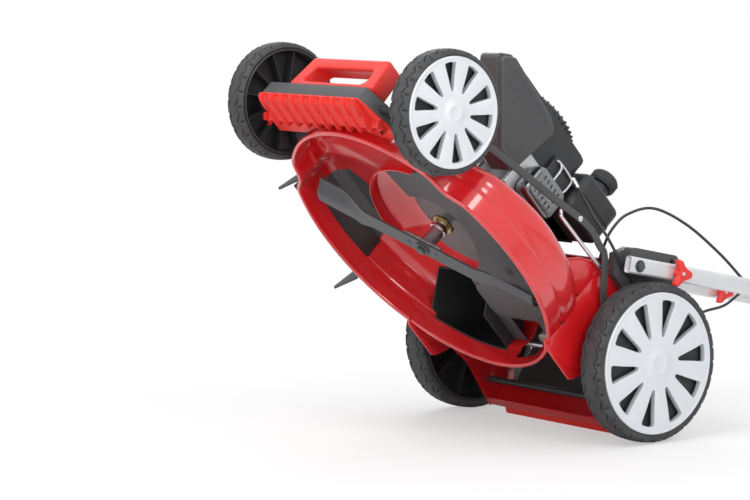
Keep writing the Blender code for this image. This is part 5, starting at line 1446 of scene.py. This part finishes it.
def height_link():
    path = [(-0.6495, 0.0288), (-0.57, 0.031), (-0.552, 0.048), (-0.552, 0.105), (-0.53, 0.139),
            (-0.4973, 0.1529), (-0.3569, 0.1913), (-0.2559, 0.2186), (-0.2064, 0.2161), (-0.1822, 0.2105),
            (-0.1287, 0.161), (-0.1, 0.158), (0.02, 0.166), (0.0805, 0.144)]
    line = curve_through([(*p, 0) for p in path], 8)
    outline = ribbon([p.xy for p in line], 0.0064)
    bar = bevelled(pushed(outline, "X", LINK_X, LINK_X + 0.0035), 0.0007, 2, 50)
    stand_in("height_link", "height_link_bar", bar)
    screws = []
    for y, z in (path[0], path[-1], (-0.275, 0.2142)):
        screws.append(slotted(spot(LINK_X + 0.0036, y, z), 0.0052, "X"))
    piece("height_link_screws", joined(*screws), "height_link", "zinc")


def slotted(place, radius, axis):
    """A pan-head screw with a slot, its head growing out of place along an axis."""
    base = place["XYZ".index(axis)]
    centre = Vector([0 if "XYZ"[k] == axis else place[k] for k in range(3)])
    line = [(0, -0.0004), (radius, -0.0004), (radius, 0.0006), (radius * 0.92, 0.0013),
            (radius * 0.55, 0.0021), (0, 0.0024)]
    head = turned([(r, base + h) for r, h in line], axis, centre, 28)
    low = place + Vector([0.0011 if "XYZ"[k] == axis else 0 for k in range(3)])
    slot = {"X": ((0, -0.0005, -radius), (0.004, 0.0005, radius)),
            "Z": ((-radius, -0.0005, 0), (radius, 0.0005, 0.004))}[axis]
    return carved(head, placed(slab(*slot), Matrix.Translation(low)))


def link_rod():
    """The plated rod that stiffens the link's bend, hooked into it at both ends."""
    route = [(LINK_X + 0.003, -0.313, 0.203), (0.1968, -0.312, 0.202), (0.196, -0.304, 0.1925),
             (0.196, -0.29, 0.191), (0.196, -0.19, 0.1955), (0.196, -0.174, 0.1965),
             (0.1968, -0.168, 0.1975), (LINK_X + 0.003, -0.1675, 0.1975)]
    line = curve_through([spot(*p) for p in route], 5)
    piece("height_link_rod", swept(line, 0.0036, 16), "height_link", "zinc")


height_link()
link_rod()
print("height link with its screws")

# %% Gearbox
def gearbox():
    whole = bevelled(merged_copy("gearbox_housing"), 0.0012, 2, SOLID_EDGE)
    rib = slab((-0.0009, 0.0255, -0.0018), (0.0009, 0.0278, 0.0018))
    x = 0.058
    ribs = [repeated(rib, 36, "cast_alloy", spot(x + shift, 0, REAR_AXIS.z), turn=(math.radians(10), 0, 0))
            for shift in (-0.016, 0.016)]
    belt = turned([(0.025, x - 0.004), (0.0268, x - 0.004), (0.0268, x + 0.004), (0.025, x + 0.004)], "X",
                  spot(0, 0, REAR_AXIS.z), 72)
    stand_in("gearbox_housing", "gearbox_cast", joined(whole, *ribs, belt))


gearbox()

# %% [markdown]
# ## Engine
# The engine hangs its parts round a cast barrel. Thin fins stand on its cylinder, the muffler is
# a pressed can with a slotted shield, and the starter cover carries a ring of ribs. The starter's
# rope is a short cord from its hole to the grip.

# %% Crankcase and muffler
SEAT_Z = 0.1653
CYLINDER = ((0.04, -0.3875, 0.185), (0.1145, -0.3135, 0.255))


def crankcase():
    y = CRANK_Y
    plan = oblong(-0.088, y - 0.088, 0.088, y + 0.088, 0.02, 8)
    base = bevelled(pushed(plan, "Z", SEAT_Z, SEAT_Z + 0.01), 0.0016, 3)
    line = [(0, SEAT_Z + 0.005), (0.0765, SEAT_Z + 0.005), (0.0775, 0.18), (0.078, 0.205), (0.08, 0.206),
            (0.08, 0.2095), (0.078, 0.2105), (0.078, 0.243), (0.0765, 0.248), (0.062, 0.2605),
            (0.059, 0.262), (0, 0.262)]
    barrel = turned(line, "Z", spot(0, y, 0), 96)
    block = bevelled(here(slab(*CYLINDER)), 0.003, 3)
    fin = bevelled(slab((-0.001, -0.043, -0.0405), (0.001, 0.043, 0.0405)), 0.0006, 1)
    fins = repeated(fin, 9, "cast_alloy", spot(0.066, y + 0.007, 0.2215), offset=(0.0056, 0, 0))
    stay = bevelled(here(slab((0.104, y + 0.024, 0.225), (0.106, y + 0.0875, 0.308))), 0.0008)
    feet = [bevelled(here(slab((0.01, -0.25, 0.2), (0.05, -0.245, 0.2617))), 0.0008),
            bevelled(here(slab((0.01, -0.29, 0.2), (0.05, -0.246, 0.206))), 0.0008)]
    bolts = [hexagon(0.0062, 0, 0.0052, Matrix.Translation(spot(x, y + b, SEAT_Z + 0.01)))
             for x in (-0.074, 0.074) for b in (-0.074, 0.074)]
    rib = bevelled(slab((0.076, -0.0022, -0.018), (0.0845, 0.0022, 0.018)), 0.0012, 2)
    ribs = repeated(rib, 12, "cast_alloy", spot(0, y, 0.192), turn=(0, 0, math.radians(30)),
                    start=(0, 0, math.radians(15)))
    stand_in("crankcase", "crankcase_cast", joined(base, barrel, block, fins, ribs, *bolts))
    piece("engine_stays", joined(stay, *feet), "chassis", "black_plastic")
    strap = [(0.1068, y + 0.03, 0.3), (0.1085, y + 0.04, 0.302), (0.1085, y + 0.076, 0.301),
             (0.1075, y + 0.083, 0.29), (0.1075, y + 0.08, 0.27), (0.1068, y + 0.06, 0.262)]
    clamp = [(0.1085, y + 0.04, 0.302), (0.112, y + 0.046, 0.29), (0.11, y + 0.046, 0.25),
             (0.1068, y + 0.034, 0.234)]
    bits = [swept(curve_through([spot(*p) for p in line], 6), 0.0024, 10) for line in (strap, clamp)]
    bits.append(slotted(spot(0.1062, y + 0.07, 0.25), 0.0052, "X"))
    piece("engine_strap", joined(*bits), "chassis", "zinc")


def upright(x):
    """The frame for a flat curve whose x and y become the mower's y and z, facing left."""
    return Matrix(((0, 0, 1, ORIGIN.x + x), (1, 0, 0, ORIGIN.y), (0, 1, 0, 0), (0, 0, 0, 1)))


def muffler():
    y = CRANK_Y
    line = oblong(y - 0.012, 0.19, y + 0.07, 0.252, 0.014, 8)
    can = placed(filled([line], 0.015, 0.005), upright(0.1315))
    seam = oblong(y - 0.0135, 0.1885, y + 0.0715, 0.2535, 0.0155, 8)
    rim = placed(filled([seam], 0.0011, 0.0005), upright(0.13))
    shield = oblong(y - 0.004, 0.197, y + 0.062, 0.245, 0.009, 6)
    slots = []
    for row in range(3):
        for k in range(5):
            a, b = y + 0.0045 + 0.011 * k, 0.2065 + 0.0145 * row
            slots.append(oblong(a, b - 0.0042, a + 0.0042, b + 0.0042, 0.0019, 4))
    cover = placed(filled([shield] + slots, 0.0012, 0.0005), upright(0.1482))
    stands = [here(slab((0.144, a - 0.002, b - 0.002), (0.1478, a + 0.002, b + 0.002)))
              for a in (y + 0.0005, y + 0.0575) for b in (0.2005, 0.2415)]
    piece("muffler_can", joined(can, rim, cover, *stands), "chassis", "muffler_steel", ("muffler",))


crankcase()
muffler()
print("crankcase and muffler made")

# %% Air filter cover
def air_cover():
    line = rounded([(-0.455, 0.186), (-0.408, 0.186), (-0.392, 0.3), (-0.42, 0.313), (-0.556, 0.322),
                    (-0.582, 0.3)], 0.01, 8)
    middle = Vector((-0.475, 0.258))
    body = placed(filled([line], 0.024, 0.003), upright(0.1243))
    raised = [tuple(middle + (Vector(p) - middle) * 0.955) for p in line]
    lid = placed(filled([raised], 0.008, 0.005), upright(0.1518))
    frame = [tuple(middle + (Vector(p) - middle) * 0.74) for p in line]
    bead = swept([spot(0.1594, a, b) for a, b in frame + frame[:2]], 0.0011, 8)
    ribs = repeated(bevelled(slab((0.158, -0.0009, -0.012), (0.1604, 0.0009, 0.012)), 0.0005, 1), 6,
                    "charcoal_plastic", spot(0, -0.531, 0.287), offset=(0, 0.0115, 0))
    seam = [tuple(middle + (Vector(p) - middle) * 1.004) for p in line]
    step = placed(filled([seam], 0.0012, 0.0005), upright(0.144))
    stand_in("air_filter_cover", "air_cover_moulded", joined(body, lid, bead, ribs, step))


air_cover()
print("air filter cover made")

# %% Shroud, starter cover and tank
RECOIL_R, RECOIL_TOP_Z, SHROUD_TOP_Z = 0.088, 0.38, 0.352
FUEL_CAP = (0.074, -0.196)
FUEL_NECK_Z = 0.362


def starter_cover():
    y, low = CRANK_Y, SHROUD_TOP_Z + 0.0003
    r, top = RECOIL_R, RECOIL_TOP_Z
    line = [(0.0615, low), (r - 0.001, low), (r, low + 0.001), (r, low + 0.0042), (r - 0.0022, low + 0.0052),
            (r - 0.0026, top - 0.013), (r - 0.005, top - 0.0085), (r - 0.01, top - 0.004),
            (r - 0.018, top - 0.0008), (r - 0.02, top - 0.0006), (0.045, top - 0.0012),
            (0.0435, top - 0.003), (0.041, top - 0.003), (0.0395, top - 0.0002), (0, top),
            (0, top - 0.003), (r - 0.018, top - 0.0036), (r - 0.0056, top - 0.014),
            (r - 0.0056, low + 0.003), (0.0615, low + 0.003)]
    shell = turned(line, "Z", spot(0, y, 0), 144)
    rib = bevelled(slab((r - 0.02, -0.0019, 0.0048), (r + 0.0012, 0.0019, 0.0205)), 0.0013, 2)
    cut = turned([(r - 0.014, 0.03), (r + 0.01, 0.0135), (r + 0.01, 0.04), (r - 0.014, 0.04)], sides=48)
    ribs = repeated(carved(rib, cut), 44, "black_plastic", spot(0, y, low),
                    turn=(0, 0, 2 * math.pi / 44), start=(0, 0, math.pi / 44))
    bar = bevelled(slab((0.0462, -0.0013, -0.0012), (0.066, 0.0013, 0.0012)), 0.0008, 1)
    bars = repeated(bar, 36, "black_plastic", spot(0, y, top - 0.0008), turn=(0, 0, 2 * math.pi / 36))
    stand_in("recoil_cover", "starter_cover_moulded", joined(shell, ribs, bars))
    slots = [slotted(spot(0.034 * math.cos(a), y + 0.034 * math.sin(a), top - 0.0004), 0.0036, "Z")
             for a in (0.5, 2.6, 4.7)]
    piece("starter_cover_screws", joined(*slots), "chassis", "zinc")


def tank():
    plan = oblong(-0.02, -0.258, 0.118, -0.15, 0.018, 8)
    body = bevelled(pushed(plan, "Z", 0.262, 0.34), 0.0095, 5)
    seam = oblong(-0.0215, -0.2595, 0.1195, -0.1485, 0.0195, 8)
    rim = bevelled(pushed(seam, "Z", 0.2995, 0.3025), 0.001, 2)
    neck = turned([(0, 0.335), (0.024, 0.335), (0.0218, 0.3425), (0.0186, 0.346), (0.0185, FUEL_NECK_Z),
                   (0, FUEL_NECK_Z)], "Z", spot(*FUEL_CAP, 0), 64)
    foot = bevelled(here(slab((0.01, -0.2615, 0.262), (0.05, -0.15, 0.272))), 0.001)
    stand_in("fuel_tank", "tank_moulded", joined(body, rim, neck, foot))


def fuel_cap():
    low = FUEL_NECK_Z + 0.0003
    line = [(0, low), (0.0235, low), (0.0245, low + 0.0008), (0.0245, low + 0.003), (0.0252, low + 0.0036),
            (0.0252, low + 0.0175), (0.0246, low + 0.0205), (0.0225, low + 0.0232), (0.0195, low + 0.0243),
            (0.018, low + 0.0238), (0.015, low + 0.0236), (0, low + 0.0236)]
    knurl = bevelled(slab((0.024, -0.0011, 0.0036), (0.0265, 0.0011, 0.0195)), 0.0007, 1)
    knurls = repeated(knurl, 30, "black_plastic", spot(*FUEL_CAP, low), turn=(0, 0, math.radians(12)))
    bar = bevelled(here(slab((FUEL_CAP[0] - 0.015, FUEL_CAP[1] - 0.003, low + 0.023),
                             (FUEL_CAP[0] + 0.015, FUEL_CAP[1] + 0.003, low + 0.0247))), 0.0006)
    whole = joined(turned(line, "Z", spot(*FUEL_CAP, 0), 96), knurls, bar)
    stand_in("fuel_cap", "fuel_cap_knurled", whole)


softened("blower_shroud", 0.0035, 4)
starter_cover()
tank()
fuel_cap()
softened("starter_grip", 0.0016, 3)


def starter_rope():
    """The cord from its hole to the grip."""
    near, far = -0.2755, -0.256
    cord = swept([spot(-0.02, near + (far - near) * k / 60, 0.3605) for k in range(61)], 0.0022, 14)
    obj = piece("starter_rope_cord", cord, None, "cable_sheath", ("starter_rope",))
    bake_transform(obj)


starter_rope()
print("shroud, starter cover, tank and cap made")

# %% [markdown]
# ## Handle, knobs and cables
# The lower handle is two flat-oval tubes, the upper one a single bent tube with a foam sleeve.
# The two bails are bent wire. Every cable is one smooth line through the points where it is held.

# %% Lower handle and knobs
TUBE_X, KNOB_S, FOLD_S = 0.235, 0.09, 0.672


def handle_frame(x, s):
    turn = Matrix((Vector((1, 0, 0)), ACROSS, ALONG)).transposed().to_4x4()
    return Matrix.Translation(on_handle(x, s)) @ turn


def lower_tubes():
    section = oblong(-0.0075, -0.015, 0.0075, 0.015, 0.0056, 8)
    inner = [(a * 0.78, b * 0.9) for a, b in section]
    for side, side_name in ((1, "left"), (-1, "right")):
        place = handle_frame(side * TUBE_X, 0)
        rings = []
        for s, share in ((-0.0214, 0.955), (-0.022, 0.975), (-0.021, 1.0), (0.69, 1.0), (0.692, 0.975)):
            rings.append([place @ Vector((a * share, b * share, s)) for a, b in section])
        rings.insert(0, [place @ Vector((a, b, -0.018)) for a, b in inner])
        tube = woven(rings, caps=True)
        stud = placed(rod(0.004, -0.018, 0.009, "X", sides=24),
                      Matrix.Translation(on_handle(side * TUBE_X, 0)))
        if side < 0:
            stud.transform(Matrix.Translation((0.009, 0, 0)))
        stand_in("lower_handle_" + side_name, "lower_tube_" + side_name, joined(tube, stud))
        turn = Matrix.Rotation(side * math.pi / 2, 4, "Y")
        places = [Matrix.Translation(on_handle(side * (TUBE_X + gap), 0)) @ turn for gap in (0.0084, 0.0076)]
        head = hexagon(0.008, -0.0002, 0.0046, places[0])
        washer = [(0.004, 0), (0.0108, 0), (0.011, 0.0004), (0.0108, 0.0011), (0.004, 0.0011)]
        washer = placed(turned(washer, sides=40), places[1])
        piece("pivot_bolt_" + side_name, joined(head, washer), "lower_handle", "dark_steel")


def knob(node, s, face, out):
    """A two-winged knob whose wings grow thinner outwards, with a zinc screw in its hub."""
    wing = [(-0.013, -0.0228), (-0.005, -0.0222), (0.005, -0.0125), (0.015, -0.008), (0.0215, -0.005),
            (0.0228, 0.0), (0.0215, 0.005), (0.015, 0.008), (0.005, 0.0125), (-0.005, 0.0222),
            (-0.013, 0.0228), (-0.0125, 0.015), (-0.0088, 0.006), (-0.008, 0.0), (-0.0088, -0.006),
            (-0.0125, -0.015)]
    line = closed_curve([Vector((a, b, 0)) for a, b in wing], 5)
    frame = Matrix(((0, 0, out, on_handle(0, s).x + face), (ALONG.y, ACROSS.y, 0, on_handle(0, s).y),
                    (ALONG.z, ACROSS.z, 0, on_handle(0, s).z), (0, 0, 0, 1)))
    wings = filled([[(p.x, p.y) for p in line]], 0.0065, 0.0026)
    wings.transform(frame @ Matrix.Translation((0, 0, 0.0105)))
    hub = turned([(0, 0.0003), (0.0085, 0.0003), (0.0092, 0.0012), (0.0092, 0.007), (0.0078, 0.017),
                  (0.0072, 0.0182), (0.0042, 0.0184), (0.004, 0.0172), (0, 0.0172)], sides=48)
    stud = rod(0.004, -0.0246 if node.startswith("bracket") else -0.0395, 0.004)
    stand_in(node, node + "_wings", joined(wings, placed(hub, frame), placed(stud, frame)))
    screw = turned([(0, 0.017), (0.0037, 0.017), (0.0037, 0.0182), (0.0031, 0.019), (0, 0.0193)], sides=28)
    piece(node + "_screw", placed(screw, frame), node, "zinc")


lower_tubes()
for side, side_name in ((1, "left"), (-1, "right")):
    knob("bracket_knob_" + side_name, KNOB_S, side * (TUBE_X + 0.0078), side)
    knob("fold_knob_" + side_name, FOLD_S, side * (TUBE_X - 0.0078), -side)
print("lower handle and knobs made")

# %% Upper handle and bails
UPPER_X, UPPER_R, REACH = 0.2553, 0.0125, 0.52
STOP_S, DRIVE_S = 0.42, 0.385


def upper_handle():
    low, high = FOLD_S - 0.026, FOLD_S + REACH
    x = UPPER_X
    line = bent([on_handle(-x, low), on_handle(-x, high), on_handle(x, high), on_handle(x, low)], 0.06, 16)
    parts = [swept(line, UPPER_R, 32)]
    for side in (-1, 1):
        mount = oblong(DRIVE_S - 0.016, -0.011, STOP_S + 0.016, 0.011, 0.006, 6)
        outline = side_view([on_handle(0, FOLD_S + a, b) for a, b in mount])
        inner, outer = sorted((side * (x - UPPER_R - 0.016), side * (x - UPPER_R + 0.003)))
        parts.append(bevelled(pushed(outline, "X", inner, outer), 0.0018, 3))
    parts[0] = carved(parts[0], placed(rod(0.0044, -0.3, 0.3, "X"), Matrix.Translation(on_handle(0, FOLD_S))))
    sockets = [placed(rod(0.0044, -0.239, 0.239, "X"), Matrix.Translation(on_handle(0, FOLD_S + s)))
               for s in (STOP_S, DRIVE_S)]
    parts[1:] = [carved(part, *sockets) for part in parts[1:]]
    stand_in("upper_handle", "upper_tube", joined(*parts))
    half = x - 0.072
    sleeve = [(UPPER_R + 0.0003, -half), (0.015, -half), (0.0162, -half + 0.0015), (0.0165, -half + 0.005),
              (0.0165, half - 0.005), (0.0162, half - 0.0015), (0.015, half), (UPPER_R + 0.0003, half)]
    middle = on_handle(0, high)
    foam_line = [(r, ORIGIN.x + a) for r, a in sleeve]
    stand_in("handle_grip", "foam_sleeve", turned(foam_line, "X", Vector((0, middle.y, middle.z))))


def bail(node, s, lift, reach, leg, finish):
    end = 0.2378

    def at(x, r):
        return on_handle(x, FOLD_S + s + r * math.cos(lift), r * math.sin(lift))

    corners = [at(-end, 0), at(-leg, 0), at(-leg, reach), at(leg, reach), at(leg, 0), at(end, 0)]
    piece(node + "_wire", swept(bent(corners, 0.0075, 8), 0.004, 24), node, finish, (node,))


upper_handle()
bail("stop_bail", STOP_S, math.radians(34), 0.12, 0.2178, "black_plastic")
bail("drive_bail", DRIVE_S, math.radians(-30), 0.118, 0.2083, "red_plastic")
print("upper handle and bails made")

# %% Cables
INNER, LEG, CLIP_S = 0.2237, 0.2382, 0.3
UPPER_S = (CLIP_S + 0.001, 0.42, 0.56, 0.67, 0.8, 0.9, 1.039)
UPPER_ACROSS = (INNER, INNER, INNER - 0.012, INNER - 0.022, INNER - 0.014, LEG - 0.002, LEG - 0.001)


def along_tube(lifts):
    """Both upper cables run beside the same tube, each at its own heights above its middle."""
    return [on_handle(x, s, lift) for x, s, lift in zip(UPPER_ACROSS, UPPER_S, lifts)]


ROUTES = {
    "brake_cable_lower": [spot(0.1092, -0.272, 0.304), spot(0.135, -0.25, 0.285),
                          spot(0.172, -0.23, 0.258), spot(0.203, -0.214, 0.24),
                          spot(0.2125, -0.185, 0.231), on_handle(0.2125, -0.024, 0.005),
                          on_handle(0.2125, -0.0095, -0.009), on_handle(0.2125, 0.015, -0.0255),
                          spot(0.2115, -0.075, 0.208), spot(0.211, -0.03, 0.205),
                          spot(0.2115, 0.02, 0.24), spot(0.2125, 0.0532, 0.3094),
                          spot(0.2185, 0.078, 0.352), on_handle(INNER, CLIP_S - 0.02, -0.006),
                          on_handle(INNER, CLIP_S, -0.005)],
    "drive_cable_lower": [spot(0.058, 0, 0.1666), spot(0.058, 0, 0.178), spot(0.06, -0.02, 0.193),
                          spot(0.072, -0.055, 0.212), spot(0.088, -0.09, 0.235),
                          spot(0.12, -0.1402, 0.2727), spot(0.13, -0.1563, 0.303),
                          spot(0.14, -0.1569, 0.3389), spot(0.16, -0.1343, 0.3778),
                          spot(0.19, -0.0769, 0.3972), spot(0.21, 0.0088, 0.4092),
                          on_handle(INNER - 0.001, 0.28, 0.009), on_handle(INNER, CLIP_S, 0.005)],
    "brake_cable_upper": along_tube((-0.005, -0.004, -0.007, -0.012, -0.01, -0.006, -0.006)),
    "drive_cable_upper": along_tube((0.005, 0.006, 0.012, 0.024, 0.014, 0.006, 0.006)),
}
BEND = 0.03
FOLD_ZONE = ("lower_handle", "upper_handle", on_handle(0, FOLD_S - BEND), on_handle(0, FOLD_S + BEND))
TILT_END = on_handle(0, CLIP_S - BEND)


def sheath(node):
    """A cable as one round tube along the smooth line through its route."""
    tube = swept(curve_through(ROUTES[node], 14), 0.0026, 14)
    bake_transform(piece(node + "_sheath", tube, None, "cable_sheath", (node,)))


for node in ROUTES:
    sheath(node)
start, following = ROUTES["brake_cable_lower"][:2]
onward = (following - start).normalized()
sleeve = [start + onward * a for a in (-0.003, 0.0, 0.015, 0.0185)]
piece("brake_cable_ferrule", swept(sleeve, 0.0042, 20), "chassis", "zinc")
print("cables:", len(ROUTES))
